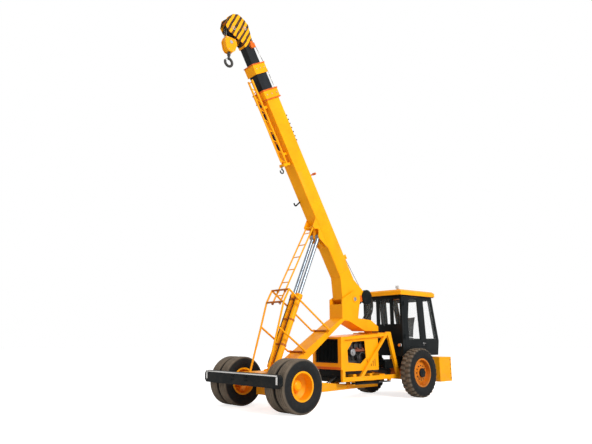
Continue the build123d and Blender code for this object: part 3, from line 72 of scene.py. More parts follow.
Z_AXIS = Vector((0.0, 0.0, 1.0))
LEFT, RIGHT = 1.0, -1.0
SIDES = ((LEFT, "left"), (RIGHT, "right"))
HEXAGON = 6
TUBE_ROUNDNESS = 3
BUMP_STRENGTH = 0.6
AXLE_Y = -2.300012  # the front axle's place along the row
BOOM_ANGLE = math.radians(59.0)
BOOM_RUN = Vector((0.0, -math.cos(BOOM_ANGLE), math.sin(BOOM_ANGLE)))
BOOM_UP = Vector((0.0, math.sin(BOOM_ANGLE), math.cos(BOOM_ANGLE)))
PIVOT = Vector((0.0, AXLE_Y + 2.720, 2.420))
BOOM_TURN = Matrix((X_AXIS, BOOM_UP, BOOM_RUN)).transposed().to_4x4()

Colour = tuple[float, float, float]
Place = tuple[float, float, float]
Piece = bpy.types.Object
Material = bpy.types.Material
Socket = bpy.types.NodeSocket


class Body(str, Enum):
    """The moving bodies that pieces ride on."""

    FRONT = "front_chassis"
    REAR = "rear_chassis"
    BOOM = "boom"
    SECOND = "second_section"
    THIRD = "third_section"
    FALLS = "rope_falls"
    BLOCK = "hoist_block"
    HOOK = "crane_hook"
    BARRELS = "cylinder_barrels"
    DOOR = "door"
    WINCH = "winch"
    FRONT_WHEEL_LEFT = "front_wheel_left"
    FRONT_WHEEL_RIGHT = "front_wheel_right"
    REAR_WHEEL_LEFT = "rear_wheel_left"
    REAR_WHEEL_RIGHT = "rear_wheel_right"


# Node graph help -----------------------------------------------------------------------
@dataclass
class Graph:
    """A material's node tree, with short calls for the nodes that the finishes share.

    Args:
        name: the material's name.
    """

    name: str
    material: Material = field(init=False)

    def __post_init__(self) -> None:
        """Makes the material with its output and main shader."""
        self.material = bpy.data.materials.new(self.name)
        self.material.use_nodes = True
        self.tree = self.material.node_tree
        self.shader = self.tree.nodes["Principled BSDF"]
        self.place = self.tree.nodes.new("ShaderNodeTexCoord").outputs["Object"]

    def link(self, source: Socket, target: Socket) -> None:
        """Joins two sockets."""
        self.tree.links.new(source, target)

    def noise(self, scale: float, detail: float = 3.0, rough: float = 0.55) -> Socket:
        """Cloudy noise in object space.

        Args:
            scale: waves to a metre.
            detail: how many finer layers.
            rough: how strong the finer layers are.

        Returns:
            The noise's value socket.
        """
        node = self.tree.nodes.new("ShaderNodeTexNoise")
        node.inputs["Scale"].default_value = scale
        node.inputs["Detail"].default_value = detail
        node.inputs["Roughness"].default_value = rough
        self.link(self.place, node.inputs["Vector"])
        return node.outputs["Fac"]

    def ramp(self, source: Socket, low: float, high: float,
             start: float = 0.0, end: float = 1.0) -> Socket:
        """Spreads a value from low..high to start..end, held at both ends.

        Args:
            source: the value to spread.
            low: where the spread begins.
            high: where it ends.
            start: the result at low.
            end: the result at high.

        Returns:
            The spread value's socket.
        """
        node = self.tree.nodes.new("ShaderNodeMapRange")
        node.inputs["From Min"].default_value = low
        node.inputs["From Max"].default_value = high
        node.inputs["To Min"].default_value = start
        node.inputs["To Max"].default_value = end
        self.link(source, node.inputs["Value"])
        return node.outputs["Result"]

    def math(self, kind: str, first: Socket | float, second: Socket | float = 0.0) -> Socket:
        """One step of arithmetic.

        Args:
            kind: the operation's name, such as MULTIPLY.
            first: the first number or socket.
            second: the second number or socket.

        Returns:
            The result's socket.
        """
        node = self.tree.nodes.new("ShaderNodeMath")
        node.operation = kind
        for socket, value in zip(node.inputs, (first, second)):
            if isinstance(value, float):
                socket.default_value = value
            else:
                self.link(value, socket)
        return node.outputs["Value"]

    def mix(self, share: Socket, first: Colour | Socket, second: Colour | Socket) -> Socket:
        """Blends two colours.

        Args:
            share: how much of the second shows, 0 to 1.
            first: a colour or a colour socket.
            second: a colour or a colour socket.

        Returns:
            The blended colour's socket.
        """
        node = self.tree.nodes.new("ShaderNodeMix")
        node.data_type = "RGBA"
        self.link(share, node.inputs["Factor"])
        for socket, value in ((node.inputs[6], first), (node.inputs[7], second)):
            if isinstance(value, tuple):
                socket.default_value = (*value, 1.0)
            else:
                self.link(value, socket)
        return node.outputs[2]

    def split(self) -> tuple[Socket, Socket, Socket]:
        """The object-space place as its three numbers."""
        node = self.tree.nodes.new("ShaderNodeSeparateXYZ")
        self.link(self.place, node.inputs["Vector"])
        return node.outputs["X"], node.outputs["Y"], node.outputs["Z"]

    def bump(self, height: Socket, depth: float) -> None:
        """Gives the shader small relief.

        Args:
            height: the relief's height, 0 to 1.
            depth: how deep it is, in metres.
        """
        node = self.tree.nodes.new("ShaderNodeBump")
        node.inputs["Distance"].default_value = depth
        node.inputs["Strength"].default_value = BUMP_STRENGTH
        self.link(height, node.inputs["Height"])
        self.link(node.outputs["Normal"], self.shader.inputs["Normal"])

    def set(self, name: str, value: float | tuple[float, ...]) -> None:
        """Sets one of the shader's plain values."""
        self.shader.inputs[name].default_value = value

    def colour(self, source: Socket) -> None:
        """Sets what the surface's colour follows."""
        self.link(source, self.shader.inputs["Base Color"])

    def roughness(self, source: Socket) -> None:
        """Sets what the surface's roughness follows."""
        self.link(source, self.shader.inputs["Roughness"])


# Finishes ------------------------------------------------------------------------------
@dataclass(frozen=True)
class PaintFinish:
    """Sprayed paint with a soft gloss, a little fading, and dust low down.

    Args:
        name: the material's name.
        colour: fresh paint.
        faded: paint where it has weathered.
        dust: road dust.
        dust_top: height in metres where dust ends.
        dust_share: how much the dust covers at most.
        gloss: roughness of clean paint.
        shine: how strongly the paint reflects.
        fading: waves of the fading to a metre.
        grit: waves of the dust's speckle to a metre.
        skin: waves of the sprayed skin to a metre.
        skin_depth: depth of the sprayed skin in metres.
    """

    name: str
    colour: Colour
    faded: Colour
    dust: Colour = (0.36, 0.27, 0.17)
    dust_top: float = 1.1
    dust_share: float = 0.34
    gloss: float = 0.32
    shine: float = 0.13
    fading: float = 2.3
    grit: float = 9.0
    skin: float = 260.0
    skin_depth: float = 0.00025

    def make(self) -> Material:
        """Builds the material."""
        g = Graph(self.name)
        weather = g.ramp(g.noise(self.fading, 5.0), 0.42, 0.72)
        base = g.mix(weather, self.colour, self.faded)
        _, _, height = g.split()
        low = g.ramp(height, 0.15, self.dust_top, 1.0, 0.0)
        grit = g.ramp(g.noise(self.grit, 6.0, 0.7), 0.48, 0.75)
        amount = g.math("MULTIPLY", low, grit)
        g.colour(g.mix(g.math("MULTIPLY", amount, self.dust_share), base, self.dust))
        rough = g.ramp(g.noise(6.0, 4.0), 0.3, 0.8, self.gloss, self.gloss + 0.14)
        g.roughness(g.math("ADD", rough, g.math("MULTIPLY", amount, 0.3)))
        g.bump(g.noise(self.skin, 2.0), self.skin_depth)
        g.set("Specular IOR Level", self.shine)
        return g.material


@dataclass(frozen=True)
class StripedFinish:
    """Paint crossed by slanted black warning stripes.

    Args:
        name: the material's name.
        ground: the paint between the stripes.
        stripe: the stripes' colour.
        pitch: one stripe and one gap, in metres.
        slant: the stripes' turn from upright in the side view, in radians.
        shift: where the first stripe lies.
        cover: the stripe's share of the pitch.
        wander: how far the edges stray, as a share of the pitch.
        shine: how strongly the paint reflects.
    """

    name: str
    ground: Colour
    stripe: Colour
    pitch: float
    slant: float
    shift: float = 0.0
    cover: float = 0.47
    wander: float = 0.5
    shine: float = 0.15

    def make(self) -> Material:
        """Builds the material."""
        g = Graph(self.name)
        _, y, z = g.split()
        along = g.math("ADD", g.math("MULTIPLY", y, math.cos(self.slant)),
                       g.math("MULTIPLY", z, math.sin(self.slant)))
        stray = g.math("MULTIPLY", g.noise(3.2, 1.0), self.pitch * self.wander)
        along = g.math("ADD", along, stray)
        phase = g.math("FRACT", g.math("DIVIDE", g.math("ADD", along, self.shift), self.pitch))
        stripe = g.math("LESS_THAN", phase, self.cover)
        worn = g.ramp(g.noise(14.0, 5.0, 0.7), 0.35, 0.6, 0.86, 1.0)
        g.colour(g.mix(g.math("MULTIPLY", stripe, worn), self.ground, self.stripe))
        g.set("Specular IOR Level", self.shine)
        g.roughness(g.ramp(g.noise(7.0), 0.3, 0.8, 0.34, 0.5))
        g.bump(g.noise(240.0, 2.0), 0.00025)
        return g.material


@dataclass(frozen=True)
class RubberFinish:
    """Tyre rubber, dusty on the tread and darker on the sidewalls.

    Args:
        name: the material's name.
        axle: the wheel's middle in the side view, as (y, z).
        outer: the tread's radius.
        wall: the sidewall's colour.
        tread: the dusty tread's colour.
        dust_start: how far inside the tread's radius the dust begins.
        dust_full: how far inside it the dust is whole.
        shine: how strongly the rubber reflects.
    """

    name: str
    axle: tuple[float, float]
    outer: float
    wall: Colour = (0.009, 0.010, 0.011)
    tread: Colour = (0.225, 0.178, 0.132)
    dust_start: float = 0.050
    dust_full: float = 0.012
    shine: float = 0.18

    def make(self) -> Material:
        """Builds the material."""
        g = Graph(self.name)
        _, y, z = g.split()
        across = g.math("SUBTRACT", y, self.axle[0])
        above = g.math("SUBTRACT", z, self.axle[1])
        radius = g.math("SQRT", g.math("ADD", g.math("MULTIPLY", across, across),
                                       g.math("MULTIPLY", above, above)))
        share = g.ramp(radius, self.outer - self.dust_start, self.outer - self.dust_full)
        cloud = g.ramp(g.noise(5.0, 6.0, 0.65), 0.3, 0.75, 0.45, 1.0)
        dust = g.math("MULTIPLY", g.math("MULTIPLY", share, cloud), 0.9)
        streak = g.ramp(g.noise(17.0, 5.0, 0.7), 0.5, 0.85, 0.0, 0.06)
        g.colour(g.mix(g.math("ADD", dust, streak), self.wall, self.tread))
        g.set("Specular IOR Level", self.shine)
        g.roughness(g.ramp(g.noise(20.0, 4.0), 0.3, 0.8, 0.62, 0.82))
        g.bump(g.noise(150.0, 3.0, 0.6), 0.0006)
        return g.material


@dataclass(frozen=True)
class SteelFinish:
    """Bare or dark iron and steel, brushed, cast or chromed.

    Args:
        name: the material's name.
        colour: the metal's colour.
        rough: mean roughness.
        grain: waves of the grain to a metre.
        metal: how metallic it is.
        oil: colour of grime or oil over it.
        oil_share: how much of it shows.
    """

    name: str
    colour: Colour
    rough: float = 0.4
    grain: float = 120.0
    metal: float = 1.0
    oil: Colour = (0.03, 0.026, 0.022)
    oil_share: float = 0.5

    def make(self) -> Material:
        """Builds the material."""
        g = Graph(self.name)
        grime = g.ramp(g.noise(8.0, 6.0, 0.7), 0.45, 0.75, 0.0, self.oil_share)
        g.colour(g.mix(grime, self.colour, self.oil))
        g.roughness(g.ramp(g.noise(self.grain, 3.0), 0.3, 0.75, self.rough - 0.08,
                           self.rough + 0.14))
        g.bump(g.noise(self.grain * 2.0, 3.0), 0.0003)
        g.set("Metallic", self.metal)
        return g.material


@dataclass(frozen=True)
class GlassFinish:
    """Clear cab glass with a faint film of dust.

    Args:
        name: the material's name.
        tint: the glass's own colour.
        clear: how much of what is behind shows.
        bend: the glass's index of refraction.
    """

    name: str
    tint: Colour = (0.70, 0.76, 0.76)
    clear: float = 0.98
    bend: float = 1.45

    def make(self) -> Material:
        """Builds the material."""
        g = Graph(self.name)
        g.set("Base Color", (*self.tint, 1.0))
        g.set("IOR", self.bend)
        film = g.ramp(g.noise(2.0, 3.0, 0.5), 0.35, 0.8, 1.0 - self.clear, 1.04 - self.clear)
        g.link(film, g.shader.inputs["Alpha"])
        g.roughness(g.ramp(g.noise(11.0, 4.0), 0.3, 0.8, 0.03, 0.10))
        return g.material


@dataclass(frozen=True)
class MouldedFinish:
    """Moulded plastic or vinyl with a fine grain.

    Args:
        name: the material's name.
        colour: its colour.
        worn: its colour where handled.
        rough: mean roughness.
        grain: waves of the grain to a metre.
        depth: the grain's depth in metres.
    """

    name: str
    colour: Colour
    worn: Colour
    rough: float = 0.5
    grain: float = 420.0
    depth: float = 0.0004

    def make(self) -> Material:
        """Builds the material."""
        g = Graph(self.name)
        g.colour(g.mix(g.ramp(g.noise(6.0, 5.0), 0.45, 0.75), self.colour, self.worn))
        g.roughness(g.ramp(g.noise(30.0), 0.3, 0.8, self.rough - 0.08, self.rough + 0.12))
        g.bump(g.noise(self.grain, 2.0), self.depth)
        return g.material


@dataclass(frozen=True)
class RopeFinish:
    """Greased wire rope, its strands shown by slanted bands.

    Args:
        name: the material's name.
        colour: bright wire.
        grease: the grease between strands.
        lay: how densely the strands cross x, y and z.
        depth: the strands' relief in metres.
        metal: how metallic it is.
    """

    name: str
    colour: Colour = (0.30, 0.29, 0.27)
    grease: Colour = (0.05, 0.045, 0.04)
    lay: Place = (260.0, 120.0, 120.0)
    depth: float = 0.0012
    metal: float = 0.7

    def make(self) -> Material:
        """Builds the material."""
        g = Graph(self.name)
        x, y, z = g.split()
        turn = g.math("ADD", g.math("MULTIPLY", x, self.lay[0]), g.math("MULTIPLY", z, self.lay[2]))
        strand = g.math("SINE", g.math("ADD", turn, g.math("MULTIPLY", y, self.lay[1])))
        share = g.ramp(strand, -0.6, 0.4)
        g.colour(g.mix(share, self.grease, self.colour))
        g.roughness(g.ramp(share, 0.0, 1.0, 0.6, 0.38))
        g.bump(share, self.depth)
        g.set("Metallic", self.metal)
        return g.material


YELLOW = (0.95, 0.385, 0.002)
YELLOW_FADED = (0.90, 0.330, 0.003)
BLACK = (0.004, 0.006, 0.007)
BLACK_FADED = (0.010, 0.012, 0.013)


class Finishes:
    """The crane's finishes, each made once when first asked for."""

    def __init__(self) -> None:
        """Lists the finishes that more than one sub-assembly shares."""
        self.recipes = {
            "yellow": PaintFinish("yellow_paint", YELLOW, YELLOW_FADED),
            "rim_orange": PaintFinish("rim_orange_paint", (0.62, 0.185, 0.010),
                                      (0.42, 0.125, 0.012)),
            # orange_paint_and_painted_shade: the parts' own orange on the collar rims, rope stalk,
            # rope bars and limit switch; painted shade on the axles, the nose panel's foot band and
            # the heel lugs, which are yellow like the rest of the machine.
            "orange": PaintFinish("orange_paint_and_painted_shade", (0.70, 0.135, 0.010), (0.50, 0.105, 0.014)),
            "brown_orange": PaintFinish("brown_orange_paint", (0.46, 0.13, 0.012),
                                        (0.30, 0.09, 0.016)),
            "black": PaintFinish("black_paint", BLACK, BLACK_FADED, gloss=0.30, shine=0.10,
                                 dust_share=0.09),
            "section_black": PaintFinish("section_black_paint", (0.006, 0.008, 0.011),
                                         (0.016, 0.021, 0.028), gloss=0.34, shine=0.16),
            "hazard": StripedFinish("head_stripes", YELLOW, (0.015, 0.013, 0.010), 0.118,
                                    math.radians(-24.0), 0.02),
            "cast": SteelFinish("dark_cast_iron", (0.045, 0.043, 0.042), 0.55, 90.0, 0.6),
            "engine": SteelFinish("engine_iron", (0.052, 0.050, 0.048), 0.5, 70.0, 0.5),
            "chrome": SteelFinish("hard_chrome", (0.23, 0.27, 0.32), 0.27, 200.0, 1.0,
                                  oil_share=0.35),
            "steel": SteelFinish("bright_steel", (0.45, 0.45, 0.46), 0.3, 160.0, 1.0),
            "glass": GlassFinish("cab_glazing"),
            "vinyl": MouldedFinish("seat_vinyl", (0.014, 0.014, 0.016), (0.03, 0.03, 0.032)),
            "plastic": MouldedFinish("black_plastic", (0.012, 0.012, 0.013), (0.03, 0.03, 0.031)),
            "hose": MouldedFinish("hose_rubber", (0.012, 0.012, 0.012), (0.035, 0.033, 0.030),
                                  0.55, 300.0),
            "white": PaintFinish("white_paint", (0.78, 0.79, 0.80), (0.6, 0.6, 0.6), gloss=0.3),
            "amber_lens": MouldedFinish("amber_lens", (0.85, 0.25, 0.02), (0.8, 0.2, 0.02), 0.2),
            "clear_lens": MouldedFinish("clear_lens", (0.72, 0.74, 0.76), (0.6, 0.62, 0.64), 0.15),
            "rust": SteelFinish("red_oxide", (0.22, 0.055, 0.025), 0.6, 90.0, 0.1),
            "rope": RopeFinish("wire_rope"),
        }
        self.made: dict[str, Material] = {}

    def get(self, name: str) -> Material:
        """The finish of that name, made the first time it is asked for."""
        if name not in self.made:
            self.made[name] = self.recipes[name].make()
        return self.made[name]

    def add(self, name: str, recipe: RubberFinish | PaintFinish) -> None:
        """Adds a finish that depends on a piece's own place."""
        self.recipes[name] = recipe


# Modelling help ------------------------------------------------------------------------
def span(name: str) -> tuple[Vector, Vector, Vector]:
    """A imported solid's lowest corner, highest corner and middle."""
    low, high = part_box(name)
    return low, high, (low + high) / 2


def deselect() -> None:
    """Leaves edit mode and selects nothing."""
    if bpy.context.object and bpy.context.object.mode != "OBJECT":
        bpy.ops.object.mode_set(mode="OBJECT")
    bpy.ops.object.select_all(action="DESELECT")


def pick(piece: Piece) -> None:
    """Selects one piece alone and makes it the active one."""
    deselect()
    piece.select_set(True)
    bpy.context.view_layer.objects.active = piece


def edit_all() -> None:
    """Goes into edit mode on the active piece with all of it selected."""
    bpy.ops.object.mode_set(mode="EDIT")
    bpy.ops.mesh.select_all(action="SELECT")


def settle(piece: Piece, name: str) -> Piece:
    """Puts a piece's place into its mesh, names it and tidies its faces.

    Args:
        piece: the piece, as its primitive left it.
        name: its final name.

    Returns:
        The same piece, at the origin.
    """
    pick(piece)
    bpy.ops.object.transform_apply(location=True, rotation=True, scale=True)
    edit_all()
    bpy.ops.mesh.remove_doubles(threshold=0.00002)
    bpy.ops.mesh.normals_make_consistent(inside=False)
    bpy.ops.object.mode_set(mode="OBJECT")
    piece.name = name
    piece.data.name = name
    return piece


def round_edges(piece: Piece, width: float, segments: int = 2,
                angle: float = 35.0) -> None:
    """Rounds a piece's sharp edges with a bevel that is then applied.

    Args:
        piece: the piece.
        width: the rounding's width in metres.
        segments: faces across each rounding.
        angle: edges sharper than this are rounded, in degrees.
    """
    pick(piece)
    bevel = piece.modifiers.new("rounding", "BEVEL")
    bevel.width = width
    bevel.segments = segments
    bevel.limit_method = "ANGLE"
    bevel.angle_limit = math.radians(angle)
    bpy.ops.object.modifier_apply(modifier=bevel.name)


def smooth(piece: Piece, angle: float = 35.0) -> None:
    """Shades a piece smooth up to an angle, in degrees."""
    pick(piece)
    bpy.ops.object.shade_smooth_by_angle(angle=math.radians(angle))


def coat(piece: Piece, material: Material) -> None:
    """Gives a piece one material in place of any it has."""
    piece.data.materials.clear()
    piece.data.materials.append(material)


def finish_piece(piece: Piece, material: Material, body: Body) -> Piece:
    """Gives a piece its material and body.

    Args:
        piece: the piece.
        material: its finish.
        body: the body it rides on.

    Returns:
        The same piece.
    """
    coat(piece, material)
    smooth(piece)
    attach(piece, body.value)
    LOG.info("piece %s rides on %s", piece.name, body.value)
    return piece


def stretch_piece(piece: Piece, material: Material, upper: Body,
                  lower: Body) -> Piece:
    """Gives a rope or hoses a material and slot, and lets them run out between two bodies.

    Args:
        piece: the piece, which rides on no single body.
        material: its finish.
        upper: the body at its first end, only logged.
        lower: the body at its second end, only logged.

    Returns:
        The same piece.
    """
    coat(piece, material)
    smooth(piece)
    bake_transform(piece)
    LOG.info("piece %s runs from %s to %s", piece.name, upper.value, lower.value)
    return piece


def box_piece(name: str, low: Place, high: Place,
              rounding: float = 0.004) -> Piece:
    """A box with rounded edges.

    Args:
        name: the piece's name.
        low: its lowest corner.
        high: its highest corner.
        rounding: the edges' rounding in metres.

    Returns:
        The piece.
    """
    deselect()
    middle = (Vector(low) + Vector(high)) / 2
    bpy.ops.mesh.primitive_cube_add(size=1.0, location=middle)
    piece = bpy.context.object
    piece.scale = Vector(high) - Vector(low)
    settle(piece, name)
    round_edges(piece, rounding)
    return piece


def rod_piece(name: str, start: Vector, end: Vector, radius: float, sides: int = 24,
              rounding: float = 0.002) -> Piece:
    """A round rod between two places, with eased ends.

    Args:
        name: the piece's name.
        start: middle of one end.
        end: middle of the other.
        radius: its radius.
        sides: faces round it.
        rounding: easing of its two rims.

    Returns:
        The piece.
    """
    deselect()
    start, end = Vector(start), Vector(end)
    run = end - start
    bpy.ops.mesh.primitive_cylinder_add(vertices=sides, radius=radius, depth=run.length,
                                        location=(start + end) / 2)
    piece = bpy.context.object
    piece.rotation_mode = "QUATERNION"
    piece.rotation_quaternion = run.to_track_quat("Z", "Y")
    settle(piece, name)
    if rounding:
        round_edges(piece, rounding, 1, 50.0)
    return piece


def stub_piece(name: str, foot: Vector, out: Vector, radius: float, sides: int = 24,
               rounding: float = 0.002) -> Piece:
    """A short rod that stands on its foot.

    Args:
        name: the piece's name.
        foot: middle of its lower end.
        out: which way it stands, as long as the rod.
        radius: its radius.
        sides: faces round it.
        rounding: easing of its two rims.

    Returns:
        The piece.
    """
    return rod_piece(name, foot, foot + out, radius, sides, rounding)


def ring_places(centre: Vector, circle: float, angles: list[float]) -> list[Vector]:
    """Places on a circle round an axle that lies across the machine.

    Args:
        centre: the circle's middle.
        circle: its radius.
        angles: each place's turn from +Y towards +Z, in radians.

    Returns:
        The places.
    """
    return [centre + Vector((0.0, circle * math.cos(angle), circle * math.sin(angle)))
            for angle in angles]


def even_turns(count: int) -> list[float]:
    """So many turns spread evenly round a circle, in radians."""
    return [math.tau * number / count for number in range(count)]


def plate_piece(name: str, outline: list[tuple[float, float]], start: float, end: float,
                rounding: float) -> Piece:
    """A flat plate: an outline drawn in the front view and pulled out along the machine.

    Args:
        name: the piece's name.
        outline: its corners as (x, z).
        start: where the plate begins along the machine.
        end: where it ends.
        rounding: the edges' easing in metres.

    Returns:
        The piece.
    """
    deselect()
    bpy.ops.mesh.primitive_circle_add(vertices=len(outline), radius=1.0, fill_type="NGON")
    piece = bpy.context.object
    for vertex, (x, z) in zip(piece.data.vertices, outline):
        vertex.co = (x, start, z)
    edit_all()
    pull = Y_AXIS * (end - start)
    bpy.ops.mesh.extrude_region_move(TRANSFORM_OT_translate={"value": pull})
    settle(piece, name)
    round_edges(piece, rounding)
    return piece


def tube_piece(name: str, points: list[Place], radius: float, taut: bool = False) -> Piece:
    """A round tube or hose along a smooth line through a few given points.

    Args:
        name: the piece's name.
        points: the line's control points.
        radius: the tube's radius.
        taut: straight runs rather than one smooth curve.

    Returns:
        The piece, as a mesh.
    """
    deselect()
    bpy.ops.curve.primitive_nurbs_path_add()
    piece = bpy.context.object
    curve = piece.data
    curve.splines.clear()
    spline = curve.splines.new("POLY" if taut else "NURBS")
    spline.points.add(len(points) - 1)
    for point, place in zip(spline.points, points):
        point.co = (*place, 1.0)
    if not taut:
        spline.order_u = 3
        spline.use_endpoint_u = True
        spline.resolution_u = 8
    curve.bevel_depth = radius
    curve.bevel_resolution = TUBE_ROUNDNESS
    curve.use_fill_caps = True
    pick(piece)
    bpy.ops.object.convert(target="MESH")
    return settle(bpy.context.object, name)


def cushion_piece(name: str, low: Place, high: Place,
                  crown: float = 0.022, pinch: float = 0.014) -> Piece:
    """A stuffed pad: crowned on both faces, drawn in along its sides, with two sewn channels.

    Args:
        name: the piece's name.
        low: its lowest corner.
        high: its highest corner.
        crown: how far the faces rise in their middle.
        pinch: how far the sides pull in between the corners.

    Returns:
        The piece.
    """
    deselect()
    bpy.ops.mesh.primitive_cube_add(size=2.0, location=(0.0, 0.0, 0.0))
    piece = bpy.context.object
    edit_all()
    bpy.ops.mesh.subdivide(number_cuts=23)
    bpy.ops.object.mode_set(mode="OBJECT")
    middle = (Vector(low) + Vector(high)) / 2
    half = (Vector(high) - Vector(low)) / 2
    thin = min(range(3), key=lambda axis: half[axis])
    wide = [axis for axis in range(3) if axis != thin]
    for vertex in piece.data.vertices:
        place = vertex.co.copy()
        first, second = (place[axis] for axis in wide)
        fullness = (1.0 - first * first) * (1.0 - second * second)
        edge = max(abs(first), abs(second)) ** 8
        channel = sum(math.exp(-(((second - at) / 0.06) ** 2)) for at in (-0.34, 0.34))
        rise = half[thin] - crown + crown * fullness - 0.35 * half[thin] * edge - 0.008 * channel
        moved = Vector((0.0, 0.0, 0.0))
        moved[thin] = place[thin] * rise
        moved[wide[0]] = first * (half[wide[0]] - pinch * (1.0 - second * second))
        moved[wide[1]] = second * (half[wide[1]] - pinch * (1.0 - first * first))
        vertex.co = middle + moved
    settle(piece, name)
    round_edges(piece, 0.010, 3)
    return piece


def join_pieces(pieces: list[Piece], name: str) -> Piece:
    """Joins several pieces into the first, under a new name."""
    deselect()
    for piece in pieces:
        piece.select_set(True)
    bpy.context.view_layer.objects.active = pieces[0]
    bpy.ops.object.join()
    joined = bpy.context.object
    joined.name = name
    joined.data.name = name
    return joined


def copy_piece(piece: Piece, change: Matrix) -> Piece:
    """A copy of a piece with its own mesh, moved or turned by a matrix."""
    twin = piece.copy()
    twin.data = piece.data.copy()
    bpy.context.scene.collection.objects.link(twin)
    twin.data.transform(change)
    return twin


# Studio --------------------------------------------------------------------------------
def any_ray(tree: bpy.types.NodeTree, kinds: tuple[str, ...]) -> Socket:
    """A socket that is 1 for a ray of any of the named kinds, and 0 for any other.

    Args:
        tree: the material's or the world's node tree.
        kinds: the rays' names, such as Is Camera Ray.

    Returns:
        The socket.
    """
    path = tree.nodes.new("ShaderNodeLightPath")
    seen = path.outputs[kinds[0]]
    for kind in kinds[1:]:
        either = tree.nodes.new("ShaderNodeMath")
        either.operation = "MAXIMUM"
        tree.links.new(seen, either.inputs[0])
        tree.links.new(path.outputs[kind], either.inputs[1])
        seen = either.outputs[0]
    return seen


@dataclass(frozen=True)
class SoftLight:
    """A large square lamp.

    Args:
        name: its name.
        place: where it hangs.
        target: what it points at.
        size: its side in metres.
        power: its strength in watts.
        colour: its colour.
    """

    name: str
    place: Place
    target: Place
    size: float
    power: float
    colour: Colour

    def hang(self) -> None:
        """Adds the lamp to the scene."""
        data = bpy.data.lights.new(self.name, "AREA")
        data.size = self.size
        data.energy = self.power
        data.color = self.colour
        lamp = bpy.data.objects.new(self.name, data)
        bpy.context.scene.collection.objects.link(lamp)
        lamp.location = self.place
        gaze = Vector(self.target) - Vector(self.place)
        lamp.rotation_euler = gaze.to_track_quat("-Z", "Y").to_euler()


@dataclass
class Studio:
    """Pale floor, soft lights and the camera.

    Args:
        eye: the camera's place.
        heading: its turn from looking along +Y, anticlockwise from above, in degrees.
        pitch: its tilt above the horizon, in degrees.
        lens: focal length in millimetres.
        sensor: the sensor's width in millimetres.
        lift: how much whiter than its light the floor looks to the camera.
        ambient: the world's strength as it lights the machine.
        floor_size: the floor's side.
        sight: how far the camera sees.
        lights: a key light on the machine's left, a weak fill ahead of it and one behind.
    """

    eye: Vector = field(default_factory=lambda: Vector((9.028, AXLE_Y - 7.141, 1.408)))
    heading: float = 48.197
    pitch: float = 12.874
    lens: float = 31.506
    sensor: float = 36.0
    lift: float = 0.70
    ambient: float = 0.45
    floor_size: float = 160.0
    sight: float = 400.0
    lights: tuple[SoftLight, ...] = (
        SoftLight("key_light", (16.0, -2.0, 11.0), (0.0, 0.5, 3.0), 8.0, 2950.0,
                  (1.0, 0.98, 0.94)),
        SoftLight("fill_light", (-4.0, -16.0, 7.0), (0.0, 0.0, 3.0), 10.0, 430.0,
                  (1.0, 0.86, 0.72)),
        SoftLight("back_light", (-9.0, 14.0, 12.0), (0.0, 0.0, 3.0), 9.0, 500.0,
                  (1.0, 1.0, 1.0)),
    )

    def build(self) -> None:
        """Makes the floor, the world, the lights and the camera."""
        self.floor()
        self.world()
        for light in self.lights:
            light.hang()
        self.camera()

    def floor_material(self) -> Material:
        """White to the camera and through glass; plain pale grey to the light itself."""
        g = Graph("studio_floor")
        speckle = g.ramp(g.noise(3.0, 3.0), 0.2, 0.8)
        g.colour(g.mix(speckle, (0.80, 0.80, 0.80), (0.84, 0.84, 0.84)))
        g.set("Roughness", 0.9)
        g.set("Emission Color", (1.0, 1.0, 1.0, 1.0))
        seen = any_ray(g.tree, ("Is Camera Ray", "Is Transmission Ray"))
        g.link(g.math("MULTIPLY", seen, self.lift), g.shader.inputs["Emission Strength"])
        return g.material

    def floor(self) -> None:
        """A wide pale floor, shaded by the machine."""
        deselect()
        bpy.ops.mesh.primitive_grid_add(x_subdivisions=8, y_subdivisions=8, size=self.floor_size)
        ground = bpy.context.object
        ground.name = "studio_floor"
        ground.data.materials.append(self.floor_material())

    def world(self) -> None:
        """White behind everything and in mirrors, and an even soft light."""
        world = bpy.data.worlds.new("studio_world")
        bpy.context.scene.world = world
        world.use_nodes = True
        tree = world.node_tree
        strength = tree.nodes.new("ShaderNodeMapRange")
        strength.inputs["To Min"].default_value = self.ambient
        strength.inputs["To Max"].default_value = 1.0
        seen = any_ray(tree, ("Is Camera Ray", "Is Transmission Ray", "Is Glossy Ray"))
        tree.links.new(seen, strength.inputs["Value"])
        background = tree.nodes["Background"]
        background.inputs["Color"].default_value = (1.0, 1.0, 1.0, 1.0)
        tree.links.new(strength.outputs["Result"], background.inputs["Strength"])

    def camera(self) -> None:
        """A camera ahead of the machine on its left, low down."""
        data = bpy.data.cameras.new("camera")
        data.lens = self.lens
        data.sensor_width = self.sensor
        data.sensor_fit = "HORIZONTAL"
        data.clip_end = self.sight
        camera = bpy.data.objects.new("camera", data)
        bpy.context.scene.collection.objects.link(camera)
        turn, tilt = math.radians(self.heading), math.radians(self.pitch)
        level = math.cos(tilt)
        gaze = Vector((-math.sin(turn) * level, math.cos(turn) * level, math.sin(tilt)))
        camera.location = self.eye
        camera.rotation_euler = gaze.to_track_quat("-Z", "Y").to_euler()
        bpy.context.scene.camera = camera


